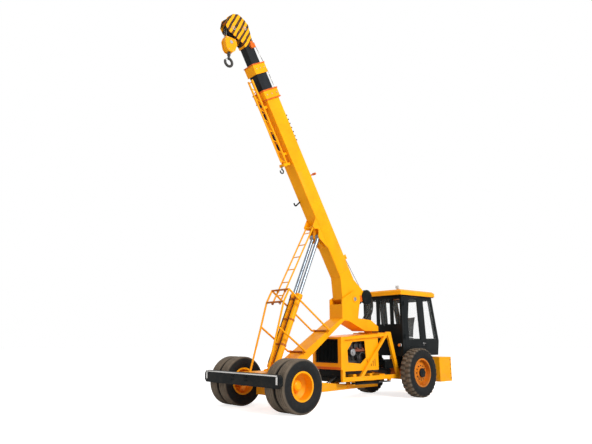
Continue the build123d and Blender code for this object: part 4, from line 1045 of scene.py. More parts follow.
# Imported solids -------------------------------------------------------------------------
NODE_FINISHES = {
    "yellow": ("front_frame", "boom_base", "stage_2_collar", "hook_block", "rear_frame",
               "nose_panel", "counterweight", "cab_roof", "side_sheet_left", "side_sheet_right",
               "engine_top", "fly_jib", "front_rims_left", "front_rims_right", "lift_barrels",
               "guard_side_left", "guard_side_right", "guard_ladder"),
    "rim_orange": ("rear_rim_left", "rear_rim_right"),
    "hazard": ("boom_head",),
    "brown_orange": ("guard_crossbars",),
    # Painted shade: the axles lie in the shade under the machine, so they get the deeper orange in
    # place of their yellow.
    "orange": ("front_axle", "rear_axle"),
    "section_black": ("boom_stage_2", "boom_stage_3"),
    "black": ("winch_drum", "bumper", "cab_body", "cab_door", "cab_floor", "chassis_rails",
              "belly_tank", "radiator", "grille", "steer_barrel_left", "steer_barrel_right"),
    "engine": ("engine_block", "gearbox"),
    "cast": ("hook", "jib_hook", "head_sheaves"),
    "chrome": ("lift_rods", "steer_rod_left", "steer_rod_right"),
    "steel": ("boom_pin", "lift_base_pin"),
    "rope": ("hoist_falls",),
    "glass": ("cab_glass", "door_glass"),
    "vinyl": ("seat",),
    "plastic": ("steering_column", "dashboard", "air_cleaner"),
    "clear_lens": ("lamps",),
}
TYRES = ("front_tyres_left", "front_tyres_right", "rear_tyre_left", "rear_tyre_right")


def dress_nodes(nodes: dict[str, Piece], finishes: Finishes) -> None:
    """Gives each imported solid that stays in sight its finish.

    Args:
        nodes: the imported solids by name.
        finishes: the crane's finishes.
    """
    for finish, names in NODE_FINISHES.items():
        for name in names:
            coat(nodes[name], finishes.get(finish))
            LOG.info("solid %s is finished as %s", name, finish)
    for name in TYRES:
        low, high, middle = span(name)
        finish = f"rubber_{name}"
        finishes.add(finish, RubberFinish(finish, (middle.y, middle.z), (high.z - low.z) / 2))
        coat(nodes[name], finishes.get(finish))


@dataclass
class SubAssembly:
    """What every sub-assembly shares.

    Args:
        finishes: the crane's finishes.
    """

    finishes: Finishes

    def mount(self, parts: list[Piece], name: str, finish: str, body: Body, slot: str) -> Piece:
        """Joins a piece's parts and gives it its finish and body.

        Args:
            parts: the parts, which become one piece.
            name: the piece's name.
            finish: its finish.
            body: the body it rides on.
            slot: a material slot's name; not used.

        Returns:
            The piece.
        """
        return finish_piece(join_pieces(parts, name), self.finishes.get(finish), body)


# Wheels --------------------------------------------------------------------------------
@dataclass
class Tyre:
    """One tyre: a smooth carcass turned about the axle, with grooves or with lugs.

    Args:
        name: the piece's name.
        centre: the tyre's middle.
        radius: over the tread.
        width: over the sidewalls.
        seat: radius where it sits on the rim.
        grooves: where its round grooves lie across the tread, as shares of the half width.
        lugs: how many cross lugs it has on each side, none on a ribbed tyre.
        groove_half: half a groove's width.
        groove_depth: how deep a groove is.
        lug_height: how far a lug stands out.
        lug_slant: a lug's turn from square across the tread, in degrees.
        steps: faces round the carcass.
    """

    name: str
    centre: Vector
    radius: float
    width: float
    seat: float
    grooves: tuple[float, ...] = ()
    lugs: int = 0
    groove_half: float = 0.008
    groove_depth: float = 0.015
    lug_height: float = 0.024
    lug_slant: float = 9.0
    steps: int = 96

    def section(self) -> list[tuple[float, float]]:
        """The carcass's section as (across, radius), from the inner bead round to the outer."""
        half = self.width / 2
        base = self.radius - (self.lug_height if self.lugs else 0.0)
        tread = 0.80 * half
        height = base - self.seat
        wall = [(-0.70 * half, self.seat), (-0.74 * half, self.seat + 0.10 * height),
                (-0.90 * half, self.seat + 0.26 * height), (-half, self.seat + 0.46 * height),
                (-0.99 * half, self.seat + 0.62 * height),
                (-0.95 * half, self.seat + 0.78 * height),
                (-0.90 * half, base - 0.07 * height), (-tread, base - 0.008)]
        crown = []
        floor = 0.6 * self.groove_half
        for groove in self.grooves:
            middle = groove * half
            crown += [(middle - self.groove_half, base), (middle - floor, base - self.groove_depth),
                      (middle + floor, base - self.groove_depth), (middle + self.groove_half, base)]
        if not self.grooves:
            crown = [(-0.5 * half, base), (0.0, base), (0.5 * half, base)]
        return wall + crown + [(-x, r) for x, r in reversed(wall)]

    def carcass(self) -> Piece:
        """Turns the section about the axle."""
        outline = self.section()
        deselect()
        bpy.ops.mesh.primitive_circle_add(vertices=len(outline), radius=1.0, fill_type="NOTHING")
        piece = bpy.context.object
        for vertex, (across, radius) in zip(piece.data.vertices, outline):
            vertex.co = self.centre + Vector((across, 0.0, radius))
        edit_all()
        bpy.ops.mesh.spin(steps=self.steps, angle=math.tau, center=self.centre, axis=X_AXIS)
        return settle(piece, self.name)

    def lug(self, side: float) -> Piece:
        """One cross lug, broad over the tread and stepping down over the shoulder.

        Args:
            side: 1 for the outer side, -1 for the inner.

        Returns:
            The lug at the top of the tyre.
        """
        half = self.width / 2
        base = self.radius - self.lug_height
        length = math.tau * self.radius / self.lugs
        outline = [(0.03 * half, base - 0.02), (0.03 * half, self.radius),
                   (0.80 * half, self.radius - 0.004), (0.965 * half, self.radius - 0.050),
                   (0.985 * half, self.radius - 0.115), (0.90 * half, self.radius - 0.125),
                   (0.80 * half, base - 0.035)]
        points = [(side * across, height) for across, height in outline]
        piece = plate_piece("lug", points, -0.29 * length, 0.29 * length, 0.005)
        pick(piece)
        edit_all()
        bpy.ops.transform.resize(value=(1.0, 0.9, 1.0), center_override=(0.0, 0.0, base))
        bpy.ops.object.mode_set(mode="OBJECT")
        return piece

    def build(self) -> Piece:
        """Makes the tyre."""
        whole = [self.carcass()]
        if self.lugs:
            step = math.tau / self.lugs
            for side in (LEFT, RIGHT):
                pattern = self.lug(side)
                slant = Matrix.Rotation(side * math.radians(self.lug_slant), 4, "Z")
                for number in range(self.lugs):
                    angle = step * (number + (0.5 if side < 0 else 0.0))
                    spin = Matrix.Translation(self.centre) @ Matrix.Rotation(angle, 4, "X") @ slant
                    whole.append(copy_piece(pattern, spin))
                bpy.data.objects.remove(pattern)
        return join_pieces(whole, self.name)


@dataclass
class Wheels(SubAssembly):
    """Tyres and wheel nuts of all four wheels, and hub caps on the rear wheels.

    Args:
        twin_pitch: between the middles of a front pair's two tyres.
        front_width: a front tyre's width.
        front_seat: radius of a front rim where its tyre sits.
        front_grooves: places of a front tyre's grooves, as shares of its half width.
        rear_seat: radius of a rear rim where its tyre sits.
        rear_lugs: cross lugs on each side of a rear tyre.
        nut_radius: over a wheel nut's corners.
        nut_height: how far a nut stands out.
        stud_radius: a stud's radius.
        stud_height: how far a stud stands out.
        cap_radius: a rear hub cap's radius.
        plug_radius: the plug's radius in its middle.
    """

    twin_pitch: float = 0.330
    front_width: float = 0.278
    front_seat: float = 0.274
    front_grooves: tuple[float, ...] = (-0.62, -0.22, 0.22, 0.62)
    rear_seat: float = 0.338
    rear_lugs: int = 30
    nut_radius: float = 0.013
    nut_height: float = 0.018
    stud_radius: float = 0.006
    stud_height: float = 0.030
    cap_radius: float = 0.112
    plug_radius: float = 0.030

    def tyre_pair(self, node: str, body: Body) -> None:
        """Twin tyres in place of a front node."""
        low, high, middle = span(node)
        half = self.twin_pitch / 2
        pair = [Tyre("part_tyre", Vector((middle.x + shift, middle.y, middle.z)),
                     (high.z - low.z) / 2, self.front_width, self.front_seat,
                     self.front_grooves).build() for shift in (-half, half)]
        piece = self.mount(pair, f"{node}_ribbed", f"rubber_{node}", body, "tyre")
        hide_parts(node)

    def drive_tyre(self, node: str, body: Body) -> None:
        """A lugged tyre in place of a rear node."""
        low, high, middle = span(node)
        tyre = Tyre(f"{node}_lugged", middle, (high.z - low.z) / 2, high.x - low.x, self.rear_seat,
                    lugs=self.rear_lugs)
        piece = tyre.build()
        finish_piece(piece, self.finishes.get(f"rubber_{node}"), body)
        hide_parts(node)

    def nuts(self, name: str, foot: Vector, side: float, circle: float, count: int,
             finish: str, body: Body) -> None:
        """A ring of wheel nuts with their studs.

        Args:
            name: the piece's name.
            foot: the ring's middle, on the face that the nuts stand on.
            side: 1 on the left, -1 on the right.
            circle: the ring's radius.
            count: how many nuts.
            finish: their finish.
            body: the wheel's body.
        """
        ring = []
        for place in ring_places(foot, circle, even_turns(count)):
            ring.append(stub_piece("nut", place, side * X_AXIS * self.nut_height,
                                   self.nut_radius, HEXAGON, 0.002))
            ring.append(stub_piece("stud", place, side * X_AXIS * self.stud_height,
                                   self.stud_radius, 12, 0.001))
        self.mount(ring, name, finish, body, "yellow")

    def hub_cap(self, name: str, end: Vector, side: float, body: Body) -> None:
        """The round cap on a rear hub, with its plug.

        Args:
            name: the piece's name.
            end: middle of the hub's outer face.
            side: 1 on the left, -1 on the right.
            body: the wheel's body.
        """
        out = side * X_AXIS
        cap = [rod_piece("cap", end - out * 0.045, end + out * 0.004, self.cap_radius, 48, 0.006),
               stub_piece("plug", end, out * 0.008, self.plug_radius, HEXAGON)]
        self.mount(cap, name, "black", body, "black")

    def build(self) -> None:
        """Makes every wheel's pieces."""
        self.tyre_pair("front_tyres_left", Body.FRONT_WHEEL_LEFT)
        self.tyre_pair("front_tyres_right", Body.FRONT_WHEEL_RIGHT)
        self.drive_tyre("rear_tyre_left", Body.REAR_WHEEL_LEFT)
        self.drive_tyre("rear_tyre_right", Body.REAR_WHEEL_RIGHT)
        for side, word, front_body, rear_body in (
            (LEFT, "left", Body.FRONT_WHEEL_LEFT, Body.REAR_WHEEL_LEFT),
            (RIGHT, "right", Body.FRONT_WHEEL_RIGHT, Body.REAR_WHEEL_RIGHT),
        ):
            middle = span(f"front_rims_{word}")[2]
            disc = Vector((middle.x + side * 0.018, middle.y, middle.z))
            self.nuts(f"front_nuts_{word}", disc, side, 0.145, 10, "yellow", front_body)
            low, high, middle = span(f"rear_rim_{word}")
            end = Vector((high.x if side > 0 else low.x, middle.y, middle.z))
            self.hub_cap(f"rear_hub_cap_{word}", end, side, rear_body)
            disc = Vector((span(f"rear_tyre_{word}")[2].x + side * 0.055, middle.y, middle.z))
            self.nuts(f"rear_nuts_{word}", disc, side, 0.180, 12, "cast", rear_body)


# Boom ----------------------------------------------------------------------------------
def on_boom(across: float, above: float, along: float) -> Vector:
    """A place given in the boom's own directions.

    Args:
        across: towards the machine's left.
        above: square to the boom, up from its pivot's line.
        along: from the pivot towards the head.

    Returns:
        The place in the row's frame.
    """
    return PIVOT + X_AXIS * across + BOOM_UP * above + BOOM_RUN * along


def boom_box(name: str, low: Place, high: Place, rounding: float = 0.003) -> Piece:
    """A box whose corners are given across, above and along the boom.

    Args:
        name: the piece's name.
        low: lowest corner in the boom's directions.
        high: highest corner in the boom's directions.
        rounding: the edges' rounding.

    Returns:
        The piece.
    """
    piece = box_piece(name, low, high, rounding)
    piece.data.transform(Matrix.Translation(PIVOT) @ BOOM_TURN)
    piece.data.update()
    return settle(piece, name)


@dataclass(frozen=True)
class Section:
    """A collar's outside, which its rims and bolts sit on.

    Args:
        body: the section's body.
        half: half its width.
        low: its underside, from the pivot's line.
        high: its top.
    """

    body: Body
    half: float
    low: float
    high: float


BASE_COLLAR = Section(Body.BOOM, 0.197, -0.152, 0.322)
SECOND_COLLAR = Section(Body.SECOND, 0.162, -0.115, 0.285)


@dataclass
class Boom(SubAssembly):
    """Small gear on the boom's three sections.

    Args:
        base_half: half the base section's width.
        base_low: its underside, from the pivot's line.
        base_high: its top.
        doubler_start: where the side plates begin along the boom.
        doubler_end: where they end.
        comb_x: the peg rail's place across the boom.
        comb_start: the first peg's place along the boom.
        comb_end: the last peg's place.
        comb_pegs: how many pegs.
        stalk_along: the rope stalk's place along the boom.
        stalk_height: how far it stands above the boom.
        roller_along: the roller lug's place along the boom.
        roller_height: how far its pin lies above the boom.
        rope_height: how far the hoist rope runs above the boom.
        rope_radius: the hoist rope's radius.
        base_exit: where the rope leaves the base section.
        second_exit: where it leaves the second section.
    """

    base_half: float = 0.165
    base_low: float = -0.120
    base_high: float = 0.290
    doubler_start: float = 0.74
    doubler_end: float = 3.50
    comb_x: float = 0.10
    comb_start: float = 4.22
    comb_end: float = 4.86
    comb_pegs: int = 7
    stalk_along: float = 3.27
    stalk_height: float = 0.20
    roller_along: float = 1.0
    roller_height: float = 0.12
    rope_height: float = 0.162
    rope_radius: float = 0.007
    base_exit: float = 5.45
    second_exit: float = 6.10

    def band(self, name: str, collar: Section, start: float, end: float, rise: float) -> None:
        """A raised orange rim round a collar.

        Args:
            name: the piece's name.
            collar: the collar.
            start: where the rim begins along the boom.
            end: where it ends.
            rise: how far it stands out.
        """
        half, low, high = collar.half, collar.low, collar.high
        sides = [
            boom_box("rim", (half, low - rise, start), (half + rise, high + rise, end)),
            boom_box("rim", (-half - rise, low - rise, start), (-half, high + rise, end)),
            boom_box("rim", (-half - rise, high, start), (half + rise, high + rise, end)),
            boom_box("rim", (-half - rise, low - rise, start), (half + rise, low, end)),
        ]
        self.mount(sides, name, "orange", collar.body, "yellow")

    def collar_bolts(self, name: str, collar: Section, rows: tuple[float, ...], along: float,
                     radius: float) -> None:
        """Hexagon bolt heads on both sides of a collar.

        Args:
            name: the piece's name.
            collar: the collar.
            rows: each bolt's height above the pivot's line.
            along: their place along the boom.
            radius: the heads' radius.
        """
        heads = []
        for above in rows:
            for side in (LEFT, RIGHT):
                foot = on_boom(side * collar.half, above, along)
                heads.append(stub_piece("bolt", foot, side * X_AXIS * radius * 0.8, radius,
                                        HEXAGON, 0.0015))
        self.mount(heads, name, "steel", collar.body, "yellow")

    def doublers(self) -> None:
        """Thin plates welded over the lower half's sides, which end in a seam."""
        inset, thickness = 0.012, 0.004
        plates = []
        for near, far in ((self.base_half, self.base_half + thickness),
                          (-self.base_half - thickness, -self.base_half)):
            plates.append(boom_box("plate", (near, self.base_low + inset, self.doubler_start),
                                   (far, self.base_high - inset, self.doubler_end), 0.001))
        self.mount(plates, "boom_side_plates", "yellow", Body.BOOM, "yellow")

    def comb(self) -> None:
        """A rail on short pegs along the boom's top edge."""
        x, top = self.comb_x, self.base_high
        rail_half, overhang = 0.012, 0.05
        pitch = (self.comb_end - self.comb_start) / (self.comb_pegs - 1)
        parts = []
        for number in range(self.comb_pegs):
            along = self.comb_start + pitch * number
            parts.append(rod_piece("peg", on_boom(x, top - 0.01, along),
                                   on_boom(x, top + 0.075, along), 0.011, 10))
            parts.append(rod_piece("knob", on_boom(x, top + 0.060, along),
                                   on_boom(x, top + 0.085, along), 0.019, 12, 0.004))
        parts.append(boom_box("rail", (x - rail_half, top, self.comb_start - overhang),
                              (x + rail_half, top + 0.012, self.comb_end + overhang), 0.002))
        self.mount(parts, "boom_peg_rail", "black", Body.BOOM, "black")

    def guides(self) -> None:
        """The rope's stalk and roller above the boom, and the roller's lug near the heel."""
        x, foot, head = self.comb_x, self.base_high - 0.01, self.base_high + self.stalk_height
        along, bar = self.stalk_along, 0.012
        stalk = [rod_piece("stalk", on_boom(x, foot, along), on_boom(x, head, along), bar, 14),
                 rod_piece("arm", on_boom(x, head, along), on_boom(-0.02, head, along), bar, 14),
                 rod_piece("roller", on_boom(0.045, head, along), on_boom(0.145, head, along),
                           0.030, 20, 0.006)]
        self.mount(stalk, "boom_rope_stalk", "orange", Body.BOOM, "yellow")
        along, axle, cheek = self.roller_along, self.base_high + self.roller_height, 0.06
        lugs = [boom_box("lug", (inner, self.base_high - 0.005, along - cheek),
                         (inner + 0.02, self.base_high + 0.17, along + cheek), 0.006)
                for inner in (0.055, -0.075)]
        lugs.append(rod_piece("roller", on_boom(-0.055, axle, along), on_boom(0.055, axle, along),
                              0.040, 24, 0.005))
        lugs.append(rod_piece("pin", on_boom(-0.09, axle, along), on_boom(0.09, axle, along),
                              bar, 14))
        self.mount(lugs, "boom_roller_lug", "yellow", Body.BOOM, "yellow")

    def under_hook(self) -> None:
        """A bent bar under the boom for parking the rope's hook."""
        x = -self.base_half + 0.02
        bends = ((0.01, 2.78), (-0.10, 2.76), (-0.18, 2.74), (-0.20, 2.79), (-0.19, 2.83))
        points = [tuple(on_boom(x, self.base_low + below, along)) for below, along in bends]
        piece = tube_piece("boom_parking_hook", points, 0.018)
        finish_piece(piece, self.finishes.get("black"), Body.BOOM)

    def under_strips(self) -> None:
        """Dark wear strips under the boom, beside the stowed jib."""
        edge = -self.base_half + 0.005
        strips = [boom_box("strip", (edge, self.base_low - 0.006, start),
                           (edge + 0.080, self.base_low + 0.002, end), 0.002)
                  for start, end in ((4.12, 4.62), (4.88, 5.31))]
        self.mount(strips, "boom_wear_strips", "section_black", Body.BOOM, "black")

    def rope_run(self, name: str, start: Vector, end: Vector) -> Piece:
        """A taut stretch of the hoist rope between two places."""
        return tube_piece(name, [tuple(start), tuple(end)], self.rope_radius, taut=True)

    def rope(self) -> None:
        """The hoist rope from the drum over the boom's top to the head, in three stretches."""
        top = self.base_high + self.rope_height
        drum = span("winch_drum")[2]
        leave = Vector((0.01, drum.y + 0.04, drum.z + 0.118))
        from_base = on_boom(0.0, top, self.base_exit)
        from_second = on_boom(0.0, top, self.second_exit)
        route = [tuple(leave), tuple(on_boom(0.0, top, self.roller_along)), tuple(from_base)]
        start = tube_piece("hoist_rope_on_boom", route, self.rope_radius, taut=True)
        finish_piece(start, self.finishes.get("rope"), Body.BOOM)
        middle = self.rope_run("hoist_rope_to_second", from_base, from_second)
        stretch_piece(middle, self.finishes.get("rope"), Body.BOOM, Body.SECOND)
        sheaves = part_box("head_sheaves")[1]
        crown = Vector((0.0, sheaves.y - 0.065, sheaves.z - 0.02))
        last = self.rope_run("hoist_rope_to_head", from_second, crown)
        stretch_piece(last, self.finishes.get("rope"), Body.SECOND, Body.THIRD)

    def build(self) -> None:
        """Makes the boom's pieces."""
        self.doublers()
        self.band("base_collar_front_rim", BASE_COLLAR, 5.545, 5.580, 0.010)
        self.band("base_collar_rear_rim", BASE_COLLAR, 5.330, 5.360, 0.010)
        self.band("second_collar_front_rim", SECOND_COLLAR, 6.200, 6.230, 0.008)
        self.collar_bolts("base_collar_bolts", BASE_COLLAR, (-0.08, 0.085, 0.25), 5.45, 0.016)
        self.collar_bolts("second_collar_bolts", SECOND_COLLAR, (-0.04, 0.085, 0.21), 6.10, 0.014)
        self.comb()
        self.guides()
        self.under_hook()
        self.under_strips()
        self.rope()


# Head and hook -------------------------------------------------------------------------
@dataclass
class HeadAndHook(SubAssembly):
    """Pin caps, rope bars and a limit switch on the boom's head, bolts on the block, the hook's
    latch and the rope falls.

    Args:
        front_sheave: the front sheave's middle.
        rear_sheave: the rear sheave's middle.
        bars: the rope bars' places as (above, along) the boom.
        recess: how far the head's cheeks lie inside its pins' ends.
        fall_radius: radius of the rope that carries the block.
        becket_drop: how far under the head's falls the rear parts begin.
    """

    front_sheave: Vector = field(default_factory=lambda: on_boom(0.0, -0.1738, 7.1276))
    rear_sheave: Vector = field(default_factory=lambda: on_boom(0.0, 0.1537, 7.0708))
    bars: tuple[tuple[float, float], ...] = ((0.057, 7.222), (-0.254, 7.316), (0.197, 7.260))
    recess: float = 0.012
    fall_radius: float = 0.008
    becket_drop: float = 0.190

    def pin_caps(self) -> None:
        """A cap with three small bolts on each end of the two sheave pins."""
        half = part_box("boom_head")[1].x - self.recess
        parts = []
        for centre in (self.front_sheave, self.rear_sheave):
            for side in (LEFT, RIGHT):
                out = side * X_AXIS
                foot = Vector((side * half, centre.y, centre.z))
                parts.append(stub_piece("cap", foot, out * 0.010, 0.044))
                for place in ring_places(foot + out * 0.008, 0.031, [0.4, 2.5, 4.6]):
                    parts.append(stub_piece("bolt", place, out * 0.008, 0.006, HEXAGON, 0.0))
        self.mount(parts, "head_pin_caps", "steel", Body.THIRD, "yellow")

    def guards(self) -> None:
        """Bars across the head that keep the rope on its wheels, and the orange limit switch."""
        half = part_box("boom_head")[1].x - self.recess
        bars = [rod_piece("bar", on_boom(-half, above, along), on_boom(half, above, along),
                          0.011, 16) for above, along in self.bars]
        self.mount(bars, "head_rope_bars", "orange", Body.THIRD, "yellow")
        switch = [boom_box("switch", (0.100, 0.10, 6.60), (0.150, 0.24, 6.71), 0.006),
                  boom_box("switch", (0.108, 0.13, 6.70), (0.140, 0.21, 6.76), 0.004)]
        self.mount(switch, "head_limit_switch", "orange", Body.THIRD, "orange")

    def block_bolts(self) -> None:
        """Through bolts and the sheave pin's plates on the hook block's cheeks."""
        low, high, middle = span("hook_block")
        parts = []
        for side in (LEFT, RIGHT):
            for y, z, radius, sides in ((0.0, 0.235, 0.040, 28), (-0.105, 0.315, 0.012, HEXAGON),
                                        (0.105, 0.315, 0.012, HEXAGON),
                                        (-0.052, 0.040, 0.012, HEXAGON),
                                        (0.052, 0.040, 0.012, HEXAGON)):
                foot = Vector((side * high.x, middle.y + y, low.z + z))
                parts.append(stub_piece("bolt", foot, side * X_AXIS * 0.010, radius, sides))
        self.mount(parts, "hook_block_bolts", "steel", Body.BLOCK, "yellow")

    def latch(self) -> None:
        """The spring latch across the hook's mouth."""
        low, _, middle = span("hook")
        points = [(middle.x, middle.y - ahead, low.z + above)
                  for ahead, above in ((0.012, 0.235), (0.050, 0.210), (0.086, 0.175))]
        piece = tube_piece("hook_latch", points, 0.007)
        finish_piece(piece, self.finishes.get("steel"), Body.HOOK)

    def falls(self) -> None:
        """The four parts of rope that carry the hook block."""
        low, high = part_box("hoist_falls")
        radius = self.fall_radius
        for side, word in SIDES:
            x = side * (high.x - radius)
            for y, top, place in ((low.y + radius, high.z, "front"),
                                  (high.y - radius, high.z - self.becket_drop, "rear")):
                upper, lower = Vector((x, y, top)), Vector((x, y, low.z))
                piece = tube_piece(f"hoist_fall_{place}_{word}", [tuple(upper), tuple(lower)],
                                   radius, taut=True)
                stretch_piece(piece, self.finishes.get("rope"), Body.FALLS, Body.BLOCK)
                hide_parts("hoist_falls")

    def build(self) -> None:
        """Makes the head's and the hook's pieces."""
        self.pin_caps()
        self.guards()
        self.block_bolts()
        self.latch()
        self.falls()


# Load guard ----------------------------------------------------------------------------
@dataclass
class LoadGuard(SubAssembly):
    """Bosses of the straps that hold the tube guard round the lift cylinders.

    Args:
        inner: the bosses' inner face, from the machine's middle.
        outer: their outer face.
        radius: their radius.
    """

    inner: float = 0.205
    outer: float = 0.262
    radius: float = 0.030

    def build(self) -> None:
        """Makes the bosses, two on each side of the gooseneck."""
        parts = []
        for side in (LEFT, RIGHT):
            for y, z in ((AXLE_Y + 1.72, 1.634), (AXLE_Y + 0.96, 1.159)):
                parts.append(rod_piece("strap", Vector((side * self.inner, y, z)),
                                       Vector((side * self.outer, y, z)), self.radius, 20, 0.004))
        self.mount(parts, "guard_strap_bosses", "yellow", Body.FRONT, "orange")


# Lift cylinders ------------------------------------------------------------------------
@dataclass
class LiftCylinders(SubAssembly):
    """Gland rings, clamps and pipes on the two lift cylinders.

    Args:
        base: middle of the cylinders' lower pin.
        eye: middle of their upper pin, on the boom.
        spacing: a cylinder's middle from the machine's middle.
        barrel_radius: a barrel's outer radius.
        clamp_width: a clamp's length along its barrel.
        clamp_reaches: how far up the barrels the clamps lie.
        ring_reaches: how far up the gland rings lie.
        port_reach: how far up the oil ports lie.
    """

    base: Vector = field(default_factory=lambda: Vector((0.0, AXLE_Y + 0.200, 0.720)))
    eye: Vector = field(default_factory=lambda: on_boom(0.0, -0.210, 1.850))
    spacing: float = 0.092
    barrel_radius: float = 0.074
    clamp_width: float = 0.045
    clamp_reaches: tuple[float, ...] = (0.62, 1.22, 1.72)
    ring_reaches: tuple[float, ...] = (1.800, 1.835)
    port_reach: float = 1.815

    def run(self) -> Vector:
        """The way from the lower pin to the upper one."""
        return (self.eye - self.base).normalized()

    def along(self, x: float, reach: float) -> Vector:
        """A place on a cylinder's middle line, so far above its base pin."""
        return self.base + self.run() * reach + X_AXIS * x

    def clamps(self) -> None:
        """Split clamps that hold the pipes and tie the two barrels together."""
        side_up = self.run().cross(X_AXIS)
        bolt_half = X_AXIS * 0.03
        parts = []
        for reach in self.clamp_reaches:
            for x in (-self.spacing, self.spacing):
                parts.append(rod_piece("clamp", self.along(x, reach),
                                       self.along(x, reach + self.clamp_width),
                                       self.barrel_radius + 0.008, 36, 0.003))
            place = self.along(0.0, reach + 0.022) - side_up * (self.barrel_radius + 0.010)
            parts.append(rod_piece("bolt", place - bolt_half, place + bolt_half, 0.009, 12, 0.001))
        self.mount(parts, "lift_barrel_clamps", "brown_orange", Body.BARRELS, "orange")

    def pipes(self) -> None:
        """A steel pipe up each barrel to the port at its gland."""
        out = X_AXIS.cross(self.run())
        lift = out * (self.barrel_radius + 0.014)
        parts = []
        for x in (self.spacing, -self.spacing):
            points = [tuple(self.along(x, reach) + lift * share)
                      for reach, share in ((0.20, 1.0), (0.5, 1.0), (1.70, 1.0), (1.80, 0.9))]
            parts.append(tube_piece("pipe", points, 0.009))
            parts.append(stub_piece("port", self.along(x, self.port_reach),
                                    out * (self.barrel_radius + 0.022), 0.016, 16))
        self.mount(parts, "lift_barrel_pipes", "black", Body.BARRELS, "black")

    def glands(self) -> None:
        """The gland nuts' two rings round each rod."""
        parts = [rod_piece("ring", self.along(x, reach), self.along(x, reach + 0.018),
                           self.barrel_radius + 0.012, 48)
                 for x in (-self.spacing, self.spacing) for reach in self.ring_reaches]
        self.mount(parts, "lift_gland_rings", "yellow", Body.BARRELS, "orange")

    def build(self) -> None:
        """Makes the cylinders' pieces."""
        self.clamps()
        self.pipes()
        self.glands()


# Front frame ---------------------------------------------------------------------------
@dataclass
class FrontFrame(SubAssembly):
    """The bumper's tape and bolts, the boom pin's caps and the front axle's clamps.

    Args:
        tape_proud: how far the tape stands out of the bumper.
        tape_sunk: how far it reaches into it.
        mark_width: width of the mark at each end.
        arm_xs: the bumper bolts' places across the machine.
        arm_zs: their heights.
        cap_radius: the boom pin's cap.
        clamp_x: the axle clamps' place, from the machine's middle.
        clamp_half: half the gap between two clamps, along the machine.
    """

    tape_proud: float = 0.003
    tape_sunk: float = 0.004
    mark_width: float = 0.05
    arm_xs: tuple[float, ...] = (-0.26, -0.20, 0.20, 0.26)
    arm_zs: tuple[float, ...] = (0.62, 0.69)
    cap_radius: float = 0.085
    clamp_x: float = 0.29
    clamp_half: float = 0.075

    def bumper_tape(self) -> None:
        """A pale strip along the bumper's upper edge, with a mark under it at each end."""
        low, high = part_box("bumper")
        front, back = low.y - self.tape_proud, low.y + self.tape_sunk
        parts = [box_piece("strip", (low.x + 0.07, front, high.z - 0.032),
                           (high.x - 0.07, back, high.z - 0.008), 0.001)]
        for side in (LEFT, RIGHT):
            outer = side * (high.x - 0.055)
            inner = outer - side * self.mark_width
            parts.append(box_piece("mark", (min(outer, inner), front, low.z + 0.07),
                                   (max(outer, inner), back, high.z - 0.04), 0.001))
        self.mount(parts, "bumper_tape", "white", Body.FRONT, "black")

    def bumper_bolts(self) -> None:
        """Bolts through the bumper into its two arms."""
        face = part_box("bumper")[0].y
        parts = [stub_piece("bolt", Vector((x, face, z)), -Y_AXIS * 0.012, 0.014, HEXAGON, 0.0015)
                 for x in self.arm_xs for z in self.arm_zs]
        self.mount(parts, "bumper_bolts", "black", Body.FRONT, "black")

    def pivot_caps(self) -> None:
        """Round caps with their bolts over the boom pin's ends."""
        _, high, middle = span("boom_pin")
        parts = []
        for side in (LEFT, RIGHT):
            out = side * X_AXIS
            foot = Vector((side * (high.x - 0.013), middle.y, middle.z))
            parts.append(stub_piece("cap", foot, out * 0.012, self.cap_radius, 40, 0.003))
            for place in ring_places(foot + out * 0.010, 0.066, even_turns(6)):
                parts.append(stub_piece("bolt", place, out * 0.009, 0.009, HEXAGON, 0.001))
        self.mount(parts, "boom_pin_caps", "yellow", Body.FRONT, "yellow")

    def axle_clamps(self) -> None:
        """Clamps that hold the front axle under its frame."""
        parts = []
        for side in (LEFT, RIGHT):
            for shift in (-self.clamp_half, self.clamp_half):
                x, y = side * self.clamp_x, AXLE_Y + shift
                parts.append(tube_piece("clamp", [(x, y, 0.44), (x, y, 0.64)], 0.014, taut=True))
        self.mount(parts, "front_axle_clamps", "cast", Body.FRONT, "orange")

    def build(self) -> None:
        """Makes the front frame's pieces."""
        self.bumper_tape()
        self.bumper_bolts()
        self.pivot_caps()
        self.axle_clamps()


# Engine bay ----------------------------------------------------------------------------
@dataclass(frozen=True)
class Flank:
    """One side of the engine.

    Args:
        side: 1 on the left, -1 on the right.
        word: the side's name.
        face: where it lies across the machine.
        start: its front along the machine.
        end: its rear.
    """

    side: float
    word: str
    face: float
    start: float
    end: float

    def place(self, out: float, back: float, height: float) -> Place:
        """A place so far out from the engine's side and behind its front, at a height."""
        return (self.face + self.side * out, self.start + back, height)

    def box(self, name: str, depth: float, near: tuple[float, float], far: tuple[float, float],
            rounding: float) -> Piece:
        """A box that stands out of the side.

        Args:
            name: the piece's name.
            depth: how far it stands out.
            near: its lowest corner as (y, z).
            far: its highest corner as (y, z).
            rounding: the edges' rounding.

        Returns:
            The piece.
        """
        outer = self.face + self.side * depth
        return box_piece(name, (min(self.face, outer), *near), (max(self.face, outer), *far),
                         rounding)


